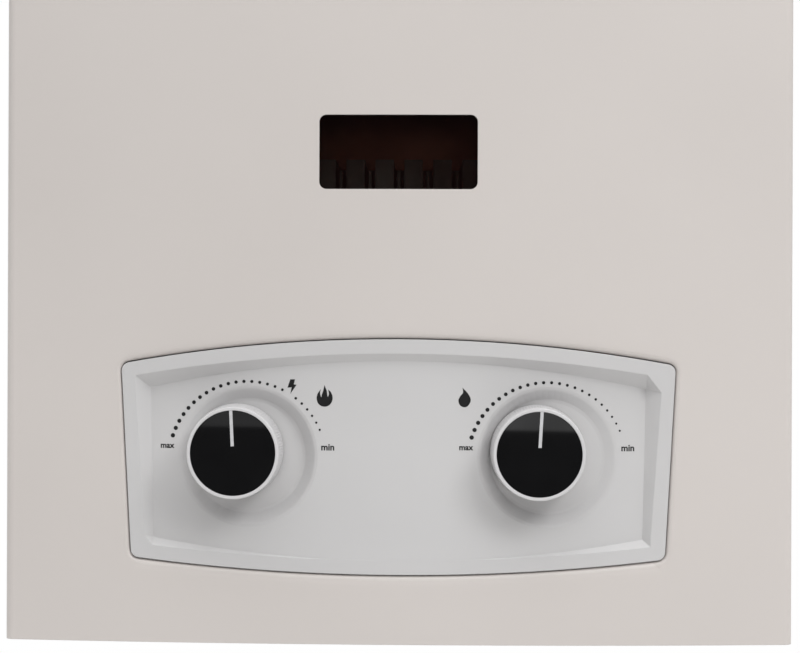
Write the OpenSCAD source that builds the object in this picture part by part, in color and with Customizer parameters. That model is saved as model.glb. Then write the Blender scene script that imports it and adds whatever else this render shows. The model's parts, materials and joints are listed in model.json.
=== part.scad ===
// Wall-hung tankless gas water heater with two control knobs and an open flue.
// Millimetres. Z is up, the front faces -Y, the wall is the plane Y = 0.
// The origin lies on the wall, midway across the casing, level with the casing's bottom edge.

/* [Casing] */
// Width over the front cover
casing_w = 332; // [324:1:345]
// Height of the front cover
casing_h = 550; // [545:1:600]
// Depth from the wall to the middle of the front
casing_d = 165; // [163:1:175]
// How far the front bows out between its two sides
front_crown = 8; // [6:1:10]
// Radius of the cover's upright corners
corner_r = 4; // [3:0.5:6]
// Thickness of the casing sheet
sheet_t = 1; // [0.8:0.1:1.2]
// Clearance between pieces that seat on each other
seat_gap = 0.3; // [0.2:0.05:0.4]

/* [Wall fixing] */
// Distance between the two screw holes of one wall tab
wall_hole_pitch = 160; // [120:5:180]
// Radius of the wall screw holes
wall_hole_r = 3.5; // [3:0.25:4.5]
// How far the wall tabs reach past the casing
wall_tab_h = 22; // [20:1:28]

/* [Sight window] */
// Width of the window opening
window_w = 66.2; // [60:0.2:74]
// Height of the window opening
window_h = 31.1; // [26:0.1:34]
// Corner radius of the window opening
window_r = 3; // [2:0.5:5]
// Height of the window's middle above the bottom edge
window_z = 206; // [204:0.2:209]
// Thickness of the glass
glass_t = 3; // [2.5:0.5:4]

/* [Control bezel] */
// Width of the bezel at its top corners
bezel_top_w = 232.7; // [228:0.1:238]
// Width of the bezel at its bottom corners
bezel_bottom_w = 223.9; // [220:0.1:227]
// Height of the top corners above the bottom edge
bezel_top_z = 117; // [116:0.5:119]
// Height of the bottom corners above the bottom edge
bezel_bottom_z = 35.9; // [35:0.1:37]
// Rise of the top edge between its corners
bezel_top_rise = 10.7; // [8:0.1:12]
// Drop of the bottom edge between its corners
bezel_bottom_drop = 6.7; // [5:0.1:8]
// Radius of the four corners
bezel_corner_r = 3.5; // [2.5:0.5:5]
// Width of the raised rim
rim_w = 6; // [5:0.5:7]
// Depth of the recess at the upper corners
recess_top_depth = 5.9; // [5:0.1:6.5]
// Depth of the recess at the lower corners
recess_bottom_depth = 3.1; // [2.6:0.1:3.6]
// How far the recess floor bows out between the corners
recess_crown = 3.2; // [2.8:0.1:3.6]
// Wall of the moulded bezel
bezel_wall = 2; // [1.6:0.1:2.4]
// Depth of the bezel behind the cover's face
bezel_depth = 13; // [12:0.5:14]

/* [Dials] */
// Distance of each dial from the middle
dial_x = 63; // [62:0.5:66]
// Height of the dials above the bottom edge
dial_z = 78.4; // [77:0.2:80]
// Radius of a dial bowl at its mouth
bowl_r = 28.9; // [28.6:0.1:30]
// Radius of a dial bowl at its floor
bowl_floor_r = 23.6; // [23.6:0.1:24.4]
// Depth of a dial bowl
bowl_depth = 4.5; // [4:0.1:5]
// Sideways place of the spindles in their bowls
spindle_shift_x = -4.6; // [-4.6:0.1:-2]
// Upward place of the spindles in their bowls
spindle_shift_z = 2.4; // [0.5:0.1:2.4]

/* [Knobs] */
// Radius of a knob at its face
knob_face_r = 19; // [18:0.1:19.1]
// Radius of a knob at its foot
knob_foot_r = 19.5; // [19.4:0.1:19.5]
// Height of a knob
knob_h = 22; // [20:0.5:24]
// Wall of a knob
knob_wall = 2; // [1.6:0.1:2.4]
// Width of the white ring round the dark face disc
ring_w = 1.45; // [1.2:0.05:2]
// Thickness of the dark face disc
disc_t = 1; // [0.8:0.1:1.4]
// Width of the pointer line
pointer_w = 1.35; // [1.2:0.05:2]
// Where the pointer starts from the middle
pointer_start = 2.8; // [2:0.1:4]
// Clearance of a knob over its bowl's floor
knob_lift = 1.2; // [1.2:0.1:1.5]
// Angle of the gas pointer from upright, as photographed
gas_rest_deg = 2.7; // [0:0.1:5]
// Angle of the water pointer from upright, as photographed
water_rest_deg = -3.2; // [-5:0.1:0]
// Radius of the spindles
spindle_r = 3; // [2.8:0.1:3.5]
// Running clearance round a spindle
spindle_fit = 0.05; // [0.03:0.01:0.08]

/* [Valves] */
// Distance of the valves' common axis behind the bezel's back
valve_set = 66; // [64:1:67]
// Radius of the gas valve's barrel
gas_barrel_r = 18; // [17:0.5:19]
// Radius of the water valve's barrel
water_barrel_r = 15; // [14:0.5:16]
// Radius of the diaphragm chamber
diaphragm_r = 34; // [32:0.5:34]
// Gap between gas valve and diaphragm chamber
rod_gap = 30; // [28:1:32]
// Radius of the push rod
rod_r = 2.5; // [2:0.1:3]
// Travel of the push rod
rod_travel = 4; // [3:0.5:5]
// Outer radius of the gas pipes
gas_pipe_r = 8; // [7:0.5:8.5]
// Outer radius of the water pipes
water_pipe_r = 8; // [7.5:0.25:8.5]
// How far the connections reach below the casing
connection_drop = 10.5; // [9:0.5:12]

/* [Burner] */
// Number of burner bars
bar_count = 14; // [12:2:16]
// Room between the outer burner bars and the chamber's sides
burner_margin = 15.5; // [14:0.5:17]
// Thickness of one burner bar
bar_t = 7.9; // [7.6:0.1:8.4]
// Height of the burner's top above the bottom edge
burner_top_z = 205; // [203:0.5:206]
// Number of flame slots in one bar
flame_slots = 8; // [6:1:9]

/* [Heat exchanger] */
// Width of the combustion chamber
chamber_w = 202; // [200:1:206]
// Depth of the combustion chamber
chamber_d = 94; // [92:1:98]
// Height of the combustion chamber with the exchanger
chamber_h = 190; // [184:1:200]
// Thickness of the copper sheet
copper_t = 1; // [0.8:0.1:1.2]
// Distance between two exchanger fins
fin_pitch = 5; // [4.5:0.5:6]
// Height of the fins
fin_h = 56; // [50:1:60]
// Number of exchanger tubes
tube_count = 4; // [3:1:4]
// Outer radius of the exchanger tubes
tube_r = 8; // [7.5:0.25:8.5]

/* [Flue] */
// Outer radius of the flue collar
collar_r = 55; // [50:0.5:60]
// Height of the collar above the casing
collar_rise = 40; // [35:1:50]

/* [Battery box] */
// Radius of one battery cell
cell_r = 16.6; // [16.2:0.1:17]
// Length of one battery cell
cell_h = 61; // [59:0.5:62]
// Wall of the battery box
box_wall = 2; // [1.6:0.1:2.4]

/* [Hidden] */

eps = 0.01;
round_fn = 64;
crown_fn = 720;

cover_colour = [0.80, 0.77, 0.75];
bezel_colour = [0.86, 0.86, 0.86];
steel_colour = [0.70, 0.71, 0.72];
brass_colour = [0.78, 0.62, 0.32];
copper_colour = [0.72, 0.43, 0.29];
dark_colour = [0.10, 0.10, 0.11];

half_w = casing_w / 2;
// Radius of the bowed front and the place of its centre
crown_r = (half_w * half_w + front_crown * front_crown) / (2 * front_crown);
crown_y = crown_r - casing_d;

bezel_mid_z = (bezel_top_z + bezel_bottom_z) / 2;
top_arc_r = (pow(bezel_top_w / 2, 2) + pow(bezel_top_rise, 2)) / (2 * bezel_top_rise);
bottom_arc_r = (pow(bezel_bottom_w / 2, 2) + pow(bezel_bottom_drop, 2)) / (2 * bezel_bottom_drop);
bezel_gap = 0.35;
roll_r = 1.8;
lip_depth = 7;
disc_r = knob_face_r - ring_w;

gas_x = -dial_x + spindle_shift_x;
water_x = dial_x + spindle_shift_x;
spindle_z = dial_z + spindle_shift_z;

// Distance of the front's surface from the wall at a place across it
function front_at(x) = crown_r - casing_d - sqrt(crown_r * crown_r - x * x);

// The recess floor leans back at the top and bows out in the middle
recess_half = bezel_bottom_w / 2 - rim_w - recess_bottom_depth;
floor_bow = recess_half * recess_half / (2 * crown_r) + recess_crown;
floor_r = (recess_half * recess_half + floor_bow * floor_bow) / (2 * floor_bow);
floor_lean = atan((recess_top_depth - recess_bottom_depth) / (bezel_top_z - bezel_bottom_z));
floor_mid_depth = (recess_top_depth + recess_bottom_depth) / 2 - recess_crown;
floor_mid_y = -casing_d + floor_mid_depth;
bowl_mouth_y = front_at(dial_x) + floor_mid_depth + recess_crown * pow(dial_x / recess_half, 2);
bowl_floor_y = bowl_mouth_y + bowl_depth;
knob_y = bowl_floor_y - knob_lift;
hub_r = spindle_r + 3.4;
groove_at = 0.76;
bezel_back_y = -casing_d + bezel_depth;
valve_y = -bezel_back_y - valve_set;

// Valve stations along their common axis
gas_right_x = -26;
gas_left_x = -104;
cap_t = 6;
cover_x = gas_right_x + rod_gap;
cover_t = 10;
flange_t = 12;
body_x = cover_x + cover_t;
water_right_x = 100;
boss_front_y = bowl_floor_y + bezel_wall + 22.85;
gas_in_x = -84;
gas_out_x = -45;
cold_x = 80;
feed_x = 88;
drain_x = 46;
outlet_z = spindle_z + 34;
port_bottom_z = spindle_z - 38;

// Burner stations
manifold_r = 9;
manifold_y = -casing_d + 18;
manifold_z = burner_top_z - 44;
bar_h = 53;
bar_pitch = (chamber_w - 2 * burner_margin - bar_t) / (bar_count - 1);
bar_front_y = manifold_y + manifold_r + 2;
bar_back_y = bar_front_y + chamber_d;
slot_low_z = burner_top_z - 36;
slot_high_z = burner_top_z - 24;
bars_half = (bar_count - 1) / 2 * bar_pitch + bar_t / 2;
mouth_y = bar_front_y + 4;

// Exchanger stations
chamber_y = bar_front_y + chamber_d / 2;
chamber_z = burner_top_z + 2;
chamber_top_z = chamber_z + chamber_h;
fin_z = chamber_top_z - 4 - fin_h;
tube_z = fin_z + fin_h / 2;
tube_pitch = (chamber_d - 6) / tube_count;
tube_end_x = chamber_w / 2 + 3.5;
coil_x = tube_end_x + 12.5;
coil_front_y = bar_front_y - tube_r - 4;
coil_back_y = bar_back_y + tube_r + 4;
pipe_bend = 12;
coil_low_z = chamber_z + 41;
coil_high_z = coil_low_z + 45;
hot_x = -coil_x - 2 * water_pipe_r - 3;
hot_y = chamber_y + 1.5 * tube_pitch;

// Place and radius of the three pipes that leave below
pipe_places = [[hot_x, hot_y, water_pipe_r], [gas_in_x, -valve_y, gas_pipe_r], [cold_x, -valve_y, water_pipe_r]];

// Battery box stations
box_x = -65;
box_l = 2 * cell_h + 2 * box_wall + 4;
box_d = 2 * cell_r + 2 * box_wall + 1;
box_front_y = bezel_back_y + 3.8;
box_back_y = box_front_y + box_d;
box_z = 4;
lid_t = 2;

collar_top_z = casing_h + collar_rise;
stub_z = casing_h - 44;

// A rounded rectangle across the front, standing in the XZ plane and running towards the wall
module rounded_rect(w, h, r) {
    square([w - 2 * r, h], center = true);
    square([w, h - 2 * r], center = true);
    for (sx = [-1, 1], sz = [-1, 1])
        translate([sx * (w / 2 - r), sz * (h / 2 - r)]) circle(r, $fn = round_fn);
}

// Stands a flat outline in the XZ plane and gives it depth from y0 back to y1
module upright(y0, y1) {
    translate([0, y1, 0]) rotate([90, 0, 0]) linear_extrude(y1 - y0) children();
}

// Plan of the casing, drawn in by inset, with its bowed front; open towards the wall
module casing_plan(inset) {
    r = max(corner_r - inset, 1);
    half = half_w - inset;
    rr = crown_r - inset;
    cx = half - r;
    cy = crown_y - sqrt(pow(rr - r, 2) - cx * cx);
    tx = cx * rr / (rr - r);
    back = -sheet_t - seat_gap;
    intersection() {
        translate([0, crown_y]) circle(rr, $fn = crown_fn);
        translate([-tx, -casing_d - 1]) square([2 * tx, casing_d + 1 + back]);
    }
    for (s = [-1, 1]) translate([s * cx, cy]) circle(r, $fn = round_fn);
    translate([-half, cy]) square([2 * half, back - cy]);
}

// Corner points and long arcs of the control bezel, drawn in by inset, from the upper left and clockwise
bezel_steps = 24;
function bezel_arc(half, mid, rise, step) =
    let (r = (half * half + rise * rise) / (2 * rise), x = -half + 2 * half * step / bezel_steps)
    [x, mid + sqrt(r * r - x * x) - (r - rise)];
function bezel_points(inset) =
    let (
        w1 = bezel_top_w / 2 - inset,
        w0 = bezel_bottom_w / 2 - inset,
        top = [for (i = [0:bezel_steps]) bezel_arc(w1, bezel_top_z - inset, bezel_top_rise, i)],
        low = [for (i = [0:bezel_steps]) bezel_arc(w0, -bezel_bottom_z - inset, bezel_bottom_drop, i)]
    )
    concat(top, [for (i = [0:bezel_steps]) let (p = low[bezel_steps - i]) [p[0], -p[1]]]);

// Points of a rounded corner at b, between its neighbours a and c
corner_steps = 8;
function direction(v) = v / norm(v);
function corner_arc(a, b, c, r) =
    let (
        u = direction(a - b),
        v = direction(c - b),
        half = acos(u * v) / 2,
        m = b + direction(u + v) * r / sin(half),
        p = b + u * r / tan(half),
        start = atan2(p[1] - m[1], p[0] - m[0]),
        turn = (180 - 2 * half) / corner_steps
    )
    [for (i = [0:corner_steps]) m + r * [cos(start - turn * i), sin(start - turn * i)]];

// Outline of the bezel with rounded corners, grown by a margin
function bezel_path(margin) =
    let (
        p = bezel_points(-margin),
        n = len(p),
        r = max(bezel_corner_r + margin, 1),
        corners = [0, bezel_steps, bezel_steps + 1, 2 * bezel_steps + 1]
    )
    [for (i = [0:n - 1]) each len(search(i, corners)) > 0
        ? corner_arc(p[(i + n - 1) % n], p[i], p[(i + 1) % n], r)
        : [p[i]]];

module bezel_outline(margin) {
    polygon(bezel_path(margin));
}

// A straight length of round bar from p to q
module rod(p, q, r, fn = round_fn) {
    d = q - p;
    translate(p) rotate([0, acos(d[2] / norm(d)), atan2(d[1], d[0])]) cylinder(h = norm(d), r = r, $fn = fn);
}

// A pipe along square turns, each turn a quarter of a ring
module pipe(points, r, bend) {
    last = len(points) - 1;
    unit = [for (i = [0:last - 1]) (points[i + 1] - points[i]) / norm(points[i + 1] - points[i])];
    for (i = [0:last - 1])
        rod(points[i] + (i > 0 ? unit[i] * bend : [0, 0, 0]),
            points[i + 1] - (i < last - 1 ? unit[i] * bend : [0, 0, 0]), r, 32);
    for (i = [1:last - 1]) {
        u = unit[i - 1];
        v = unit[i];
        w = cross(u, v);
        c = points[i] - u * bend + v * bend;
        multmatrix([[-v[0], u[0], w[0], c[0]], [-v[1], u[1], w[1], c[1]], [-v[2], u[2], w[2], c[2]], [0, 0, 0, 1]])
            rotate_extrude(angle = 90, $fn = 64) translate([bend, 0]) circle(r, $fn = 32);
    }
}

// Sheet steel back: wall plate, side flanges, bottom shelf and the two wall tabs
flange_d = 24;
shelf_d = -box_back_y - 10;
shelf_z = 22;
shelf_fold = 12;
back_half = half_w - sheet_t - seat_gap;
tab_half = wall_hole_pitch / 2 + 15;
screw_y = -14;
screw_low_z = 40;
screw_high_z = casing_h - 50;
screw_r = 1.9;
pipe_hole_gap = 1.5;
drain_hole_r = 12;

module back_plate() {
    color(steel_colour) difference() {
        union() {
            translate([-back_half, -sheet_t, 0]) cube([2 * back_half, sheet_t, casing_h - sheet_t - seat_gap]);
            translate([-tab_half, -sheet_t, -wall_tab_h]) cube([2 * tab_half, sheet_t, casing_h + 2 * wall_tab_h]);
            for (s = [-1, 1])
                translate([s * (back_half - sheet_t / 2) - sheet_t / 2, -flange_d, shelf_z])
                    cube([sheet_t, flange_d, casing_h - shelf_z - sheet_t - seat_gap]);
            translate([-back_half, -shelf_d, shelf_z]) cube([2 * back_half, shelf_d, sheet_t]);
            // Front edge of the shelf, folded up
            translate([-back_half, -shelf_d, shelf_z]) cube([2 * back_half, sheet_t, shelf_fold]);
        }
        for (s = [-1, 1], z = [-wall_tab_h / 2, casing_h + wall_tab_h / 2])
            translate([s * wall_hole_pitch / 2, 1, z]) rotate([90, 0, 0]) cylinder(h = 4, r = wall_hole_r, $fn = round_fn);
        // Keyhole for the hanging hook
        translate([0, 1, casing_h - 30]) rotate([90, 0, 0]) cylinder(h = 4, r = 6, $fn = round_fn);
        translate([0, 1, casing_h - 18]) rotate([90, 0, 0]) cylinder(h = 4, r = 3, $fn = round_fn);
        translate([-3, -3, casing_h - 30]) cube([6, 4, 12]);
        for (s = [-1, 1], z = [screw_low_z, screw_high_z])
            rod([s * (half_w - 8), screw_y, z], [s * (half_w + 8), screw_y, z], screw_r + 0.05);
        for (p = pipe_places)
            translate([p[0], p[1], shelf_z - 1]) cylinder(h = 4, r = p[2] + pipe_hole_gap, $fn = round_fn);
        translate([drain_x, -valve_y, shelf_z - 1]) cylinder(h = 4, r = drain_hole_r, $fn = round_fn);
    }
}

// Edge of the bezel cut-out, rolled inwards: a rounded section that runs round the bowed outline.
// Each place of the section is [distance outside the bezel, depth below the front]
lip_steps = 6;
lip_sink = 0.03;
lip_root = 0.4;
function lip_section() =
    let (t = sheet_t - 2 * lip_sink, turn = 90 / lip_steps)
    concat(
        [[bezel_gap + roll_r + lip_root, lip_sink]],
        [for (i = [0:lip_steps]) [bezel_gap + roll_r * (1 - sin(turn * i)), lip_sink + roll_r * (1 - cos(turn * i))]],
        [[bezel_gap, lip_depth], [bezel_gap + t, lip_depth]],
        [for (i = [lip_steps:-1:0]) [bezel_gap + roll_r - (roll_r - t) * sin(turn * i),
                                     lip_sink + roll_r - (roll_r - t) * cos(turn * i)]],
        [[bezel_gap + roll_r + lip_root, sheet_t - lip_sink]]
    );

module rolled_lip() {
    section = lip_section();
    n = len(bezel_path(0));
    m = len(section);
    points = [for (s = section, p = bezel_path(s[0])) [p[0], front_at(p[0]) + s[1], p[1]]];
    polyhedron(points = points, faces = [for (k = [0:m - 1], j = [0:n - 1])
        let (a = k * n + j, b = k * n + (j + 1) % n, c = (k + 1) % m * n + j, d = (k + 1) % m * n + (j + 1) % n)
        each [[a, b, d], [a, d, c]]]);
}

// Bowed front cover with its window, bezel cut-out, folded lips and flue hole
lip_w = 12;
flue_hole_gap = 3;
flue_y = chamber_y;

module front_cover() {
    color(cover_colour) difference() {
        union() {
            difference() {
                linear_extrude(casing_h) casing_plan(0);
                translate([0, 0, sheet_t]) linear_extrude(casing_h - 2 * sheet_t) casing_plan(sheet_t);
                translate([0, 0, -1]) linear_extrude(3) casing_plan(lip_w);
                // Open back
                translate([-half_w + sheet_t, -sheet_t - seat_gap - 1, sheet_t])
                    cube([casing_w - 2 * sheet_t, 2, casing_h - 2 * sheet_t]);
                upright(-casing_d - 1, -casing_d + 20) bezel_outline(bezel_gap + roll_r);
                // Room for the connections
                for (p = pipe_places)
                    translate([p[0], p[1], -1]) cylinder(h = 3, r = stub_r + 3, $fn = round_fn);
            }
            rolled_lip();
        }
        upright(-casing_d - 1, -casing_d + 20) translate([0, window_z]) rounded_rect(window_w, window_h, window_r);
        translate([0, flue_y, casing_h - 5]) cylinder(h = 10, r = collar_r + flue_hole_gap, $fn = round_fn);
        for (s = [-1, 1], z = [screw_low_z, screw_high_z])
            rod([s * (half_w - 8), screw_y, z], [s * (half_w + 8), screw_y, z], screw_r + 0.05);
    }
}

module cover_screws() {
    color(steel_colour) for (s = [-1, 1], z = [screw_low_z, screw_high_z]) {
        rod([s * (half_w - 5), screw_y, z], [s * (half_w + 0.1), screw_y, z], screw_r);
        rod([s * (half_w + 0.1), screw_y, z], [s * (half_w + 1.6), screw_y, z], 3.6);
    }
}

// Flat pane behind the window and the frame that clamps it
pane_margin = 5;
frame_margin = 11;
frame_t = 3;
pane_w = window_w + 2 * pane_margin;
pane_h = window_h + 2 * pane_margin;
frame_w = window_w + 2 * frame_margin;
frame_h = window_h + 2 * frame_margin;
pane_y = front_at(frame_w / 2) + sheet_t + 0.1;

module sight_glass() {
    color([0.12, 0.10, 0.10, 0.6])
        upright(pane_y, pane_y + glass_t) translate([0, window_z]) rounded_rect(pane_w, pane_h, 2);
}

module sight_glass_frame() {
    color(steel_colour) difference() {
        upright(pane_y, pane_y + glass_t + frame_t) translate([0, window_z]) rounded_rect(frame_w, frame_h, 4);
        upright(pane_y - 1, pane_y + glass_t + 0.1) translate([0, window_z])
            rounded_rect(pane_w + 0.2, pane_h + 0.2, 2.1);
        upright(pane_y, pane_y + glass_t + frame_t + 1) translate([0, window_z])
            rounded_rect(window_w + 3, window_h + 3, 2);
    }
}

// The recess of the bezel: sloping walls down to a floor that bows out and leans back at the top.
// Its depth below the rim at a place across and up the bezel; at the bottom middle it runs out flush
flush_depth = 0.04;
function recess_depth(x, z) = max(flush_depth,
    floor_mid_depth + recess_crown * pow(x / recess_half, 2) + (z - bezel_mid_z) * tan(floor_lean));

recess_columns = 24;
recess_rows = 6;
wall_start = 0.3;
function side_half(z) = let (t = (z - bezel_bottom_z) / (bezel_top_z - bezel_bottom_z))
    (bezel_bottom_w + (bezel_top_w - bezel_bottom_w) * t) / 2;
function top_edge(x) = bezel_top_z + bezel_top_rise - top_arc_r + sqrt(top_arc_r * top_arc_r - x * x);
function bottom_edge(x) = bezel_bottom_z - bezel_bottom_drop + bottom_arc_r - sqrt(bottom_arc_r * bottom_arc_r - x * x);

// A point of the recess: column 0 and the last are on the side rims, row 0 and the last on the upper and lower rim
function recess_point(c, r) =
    let (
        side = c == 0 || c == recess_columns,
        edge = r == 0 || r == recess_rows,
        u = min(max((c - 1) / (recess_columns - 2), 0), 1) * 2 - 1,
        v = min(max((r - 1) / (recess_rows - 2), 0), 1),
        z0 = bezel_top_z + (bezel_bottom_z - bezel_top_z) * v,
        run = rim_w + (side ? -wall_start : recess_depth(recess_half, z0)),
        x = u * (side_half(z0) - run),
        up = top_edge(x) - rim_w - (r == 0 ? -wall_start : recess_depth(x, top_edge(x))),
        down = bottom_edge(x) + rim_w + (r == recess_rows ? -wall_start : recess_depth(x, bottom_edge(x))),
        z = up + (down - up) * v
    )
    [x, front_at(x) + (side || edge ? -wall_start : recess_depth(x, z)), z];

module recess_tool() {
    nc = recess_columns + 1;
    nr = recess_rows + 1;
    floor_points = [for (r = [0:recess_rows], c = [0:recess_columns]) recess_point(c, r)];
    ring = concat(
        [for (c = [0:recess_columns]) c],
        [for (r = [1:recess_rows]) r * nc + recess_columns],
        [for (c = [1:recess_columns]) recess_rows * nc + recess_columns - c],
        [for (r = [1:recess_rows - 1]) (recess_rows - r) * nc]
    );
    n = len(ring);
    front_points = [for (k = ring) [floor_points[k][0], -casing_d - 3, floor_points[k][2]]];
    base = nc * nr;
    floor_faces = [for (r = [0:recess_rows - 1], c = [0:recess_columns - 1])
        let (a = r * nc + c, b = a + 1, d = a + nc, e = d + 1)
        each [[a, e, b], [a, d, e]]];
    side_faces = [for (k = [0:n - 1])
        let (a = ring[k], b = ring[(k + 1) % n], f = base + k, g = base + (k + 1) % n)
        each [[a, b, g], [a, g, f]]];
    polyhedron(points = concat(floor_points, front_points),
               faces = concat(floor_faces, side_faces, [[for (k = [0:n - 1]) base + k]]));
}

// Bowed and leaning solid whose surface is the recess floor, sunk by a depth
module floor_drum(sink) {
    translate([0, floor_mid_y + floor_r, bezel_mid_z]) rotate([-floor_lean, 0, 0])
        cylinder(h = 2 * bezel_top_z, r = floor_r - sink, center = true, $fn = crown_fn);
}

// Dial bowl: a flat round floor, from which a wall rises to a round mouth on the recess floor, with soft edges.
// Each place of its profile is [radius, share of the way from the bowl's floor to the recess floor]
bowl_soft = 0.7;
bowl_steps = 64;
bowl_profile = [
    [bowl_floor_r - bowl_soft, 0],
    [bowl_floor_r, 0.04],
    [bowl_floor_r + bowl_soft, 0.1],
    [bowl_r - 1.6 * bowl_soft, 0.82],
    [bowl_r - 0.5 * bowl_soft, 0.94],
    [bowl_r + 0.6 * bowl_soft, 0.985],
    [bowl_r + 1.5 * bowl_soft, 1.08]
];
function bowl_point(middle, place, step) =
    let (
        a = 360 * step / bowl_steps,
        x = middle + place[0] * cos(a),
        z = dial_z + place[0] * sin(a),
        rise = front_at(x) + recess_depth(x, z) - bowl_floor_y
    )
    [x, bowl_floor_y + rise * place[1], z];

module bowl_tool(middle) {
    n = bowl_steps;
    rings = len(bowl_profile);
    wall_points = [for (place = bowl_profile, j = [0:n - 1]) bowl_point(middle, place, j)];
    mouth_points = [for (j = [0:n - 1]) let (p = wall_points[(rings - 1) * n + j]) [p[0], -casing_d - 3, p[2]]];
    side_faces = [for (k = [0:rings - 1], j = [0:n - 1])
        let (a = k * n + j, b = k * n + (j + 1) % n, c = b + n, d = a + n)
        each [[a, d, c], [a, c, b]]];
    polyhedron(points = concat(wall_points, mouth_points),
               faces = concat(side_faces, [[for (j = [0:n - 1]) j]], [[for (j = [n - 1:-1:0]) rings * n + j]]));
}

collar_slope = (bowl_r - bowl_floor_r) / (bowl_depth + bezel_wall);
collar_h = 2 * bowl_depth + bezel_wall;

// White moulded bezel: bowed rim, sloping recess, two dial bowls and their collars behind
module control_bezel() {
    color(bezel_colour) difference() {
        union() {
            difference() {
                intersection() {
                    upright(-casing_d - 1, bezel_back_y) bezel_outline(0);
                    translate([0, crown_y, 0]) cylinder(h = 2 * bezel_top_z, r = crown_r, $fn = crown_fn);
                }
                recess_tool();
                // Hollow behind the floor
                intersection() {
                    upright(-casing_d, bezel_back_y + 1) bezel_outline(-rim_w - bezel_wall);
                    floor_drum(bezel_wall);
                }
            }
            // Collars behind the bowls; they reach into the floor's thickness all the way round
            intersection() {
                floor_drum(0.5);
                for (s = [-1, 1])
                    translate([s * dial_x, bowl_floor_y + bezel_wall, dial_z]) rotate([90, 0, 0])
                        cylinder(h = collar_h, r1 = bowl_floor_r + bezel_wall,
                                 r2 = bowl_floor_r + bezel_wall + collar_h * collar_slope, $fn = 96);
            }
        }
        for (s = [-1, 1]) {
            bowl_tool(s * dial_x);
            translate([s * dial_x + spindle_shift_x, bowl_floor_y + 10, spindle_z]) rotate([90, 0, 0])
                cylinder(h = 20, r = hub_r + 1.5, $fn = round_fn);
        }
    }
}

// Knob: flared skirt with a groove behind its smooth front band, a hub with a flat, and an inlaid disc
flank_steps = 8;
groove_depth = 0.5;
face_round = 0.4;
groove_w = 0.7;
hub_foot = 3;
disc_fit = 0.05;
flat_share = 0.6;
hub_roof = 3;
function flank_r(t) = knob_face_r + (knob_foot_r - knob_face_r) * pow(1 - t, 1.5);

module on_dial(x, turn) {
    translate([x, knob_y, spindle_z]) rotate([90, 0, 0]) rotate([0, 0, turn]) children();
}

module spindle_section(r) {
    difference() {
        circle(r, $fn = round_fn);
        translate([spindle_r * flat_share + (r - spindle_r), -2 * r]) square([2 * r, 4 * r]);
    }
}

module knob() {
    top = knob_h - disc_t - disc_fit;
    color(bezel_colour) difference() {
        union() {
            rotate_extrude($fn = 96) polygon(concat(
                [[0, top - knob_wall], [knob_face_r - knob_wall - 1, top - knob_wall], [knob_foot_r - knob_wall, 0]],
                [for (i = [0:flank_steps]) let (t = groove_at * i / flank_steps) [flank_r(t), knob_h * t]],
                [
                    [flank_r(groove_at) - groove_depth, knob_h * groove_at],
                    [flank_r(groove_at) - groove_depth, knob_h * groove_at + groove_w],
                    [knob_face_r, knob_h * groove_at + groove_w],
                    [knob_face_r, knob_h - face_round],
                    [knob_face_r - 0.3 * face_round, knob_h - 0.3 * face_round],
                    [knob_face_r - face_round, knob_h],
                    [disc_r + disc_fit, knob_h],
                    [disc_r + disc_fit, top],
                    [0, top]
                ]
            ));
            translate([0, 0, hub_foot]) cylinder(h = top - hub_foot - 0.5, r = hub_r, $fn = round_fn);
            for (a = [45:90:315]) rotate([0, 0, a])
                translate([hub_r - 1, -0.6, hub_foot + 6]) cube([knob_face_r - knob_wall - hub_r, 1.2, top - hub_foot - 7]);
        }
        translate([0, 0, -1]) linear_extrude(top - hub_roof + 1) spindle_section(spindle_r + spindle_fit);
    }
}

module knob_disc() {
    color(dark_colour) difference() {
        translate([0, 0, knob_h - disc_t]) cylinder(h = disc_t, r = disc_r, $fn = 96);
        translate([-pointer_w / 2, pointer_start, knob_h - disc_t / 2]) cube([pointer_w, disc_r, disc_t]);
    }
}

module knob_pointer() {
    slack = 0.02;
    color("white") intersection() {
        translate([-pointer_w / 2 + slack, pointer_start + slack, knob_h - disc_t / 2])
            cube([pointer_w - 2 * slack, disc_r, disc_t / 2]);
        cylinder(h = 2 * knob_h, r = disc_r, $fn = 96);
    }
}

// Spindle from inside the valve barrel into the knob's hub
spindle_sink = 8;
module spindle(x, turn) {
    front = knob_h - disc_t - disc_fit - hub_roof - 0.5;
    back = -(valve_y - spindle_sink) - knob_y;
    color(brass_colour) on_dial(x, turn) {
        linear_extrude(front) spindle_section(spindle_r);
        translate([0, 0, -back]) cylinder(h = back, r = spindle_r, $fn = round_fn);
    }
}

module gas_knob() { on_dial(gas_x, gas_rest_deg) knob(); }
module gas_knob_disc() { on_dial(gas_x, gas_rest_deg) knob_disc(); }
module gas_knob_pointer() { on_dial(gas_x, gas_rest_deg) knob_pointer(); }
module water_knob() { on_dial(water_x, water_rest_deg) knob(); }
module water_knob_disc() { on_dial(water_x, water_rest_deg) knob_disc(); }
module water_knob_pointer() { on_dial(water_x, water_rest_deg) knob_pointer(); }
module gas_spindle() { spindle(gas_x, gas_rest_deg); }
module water_spindle() { spindle(water_x, water_rest_deg); }

// Bore for a spindle, from its blind end in the barrel out through the boss
module spindle_bore(x) {
    rod([x, -valve_y + spindle_sink + 0.5, spindle_z], [x, boss_front_y - 1, spindle_z], spindle_r + spindle_fit);
}

// Two legs from a valve barrel to the back plate
leg_r = 6;
module wall_leg(x) {
    rod([x, -valve_y, spindle_z], [x, -sheet_t, spindle_z], leg_r);
    rod([x, -sheet_t - 4, spindle_z], [x, -sheet_t, spindle_z], leg_r + 5);
}

// Gas valve: barrel, spindle boss, gas inlet below, outlet and shut-off seat above
solenoid_x = -86;
solenoid_r = 11;
solenoid_h = 26;
seat_z = spindle_z + 28;
rod_sink = 8;
rod_fit = 0.05;
rod_end_room = 2;

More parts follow.
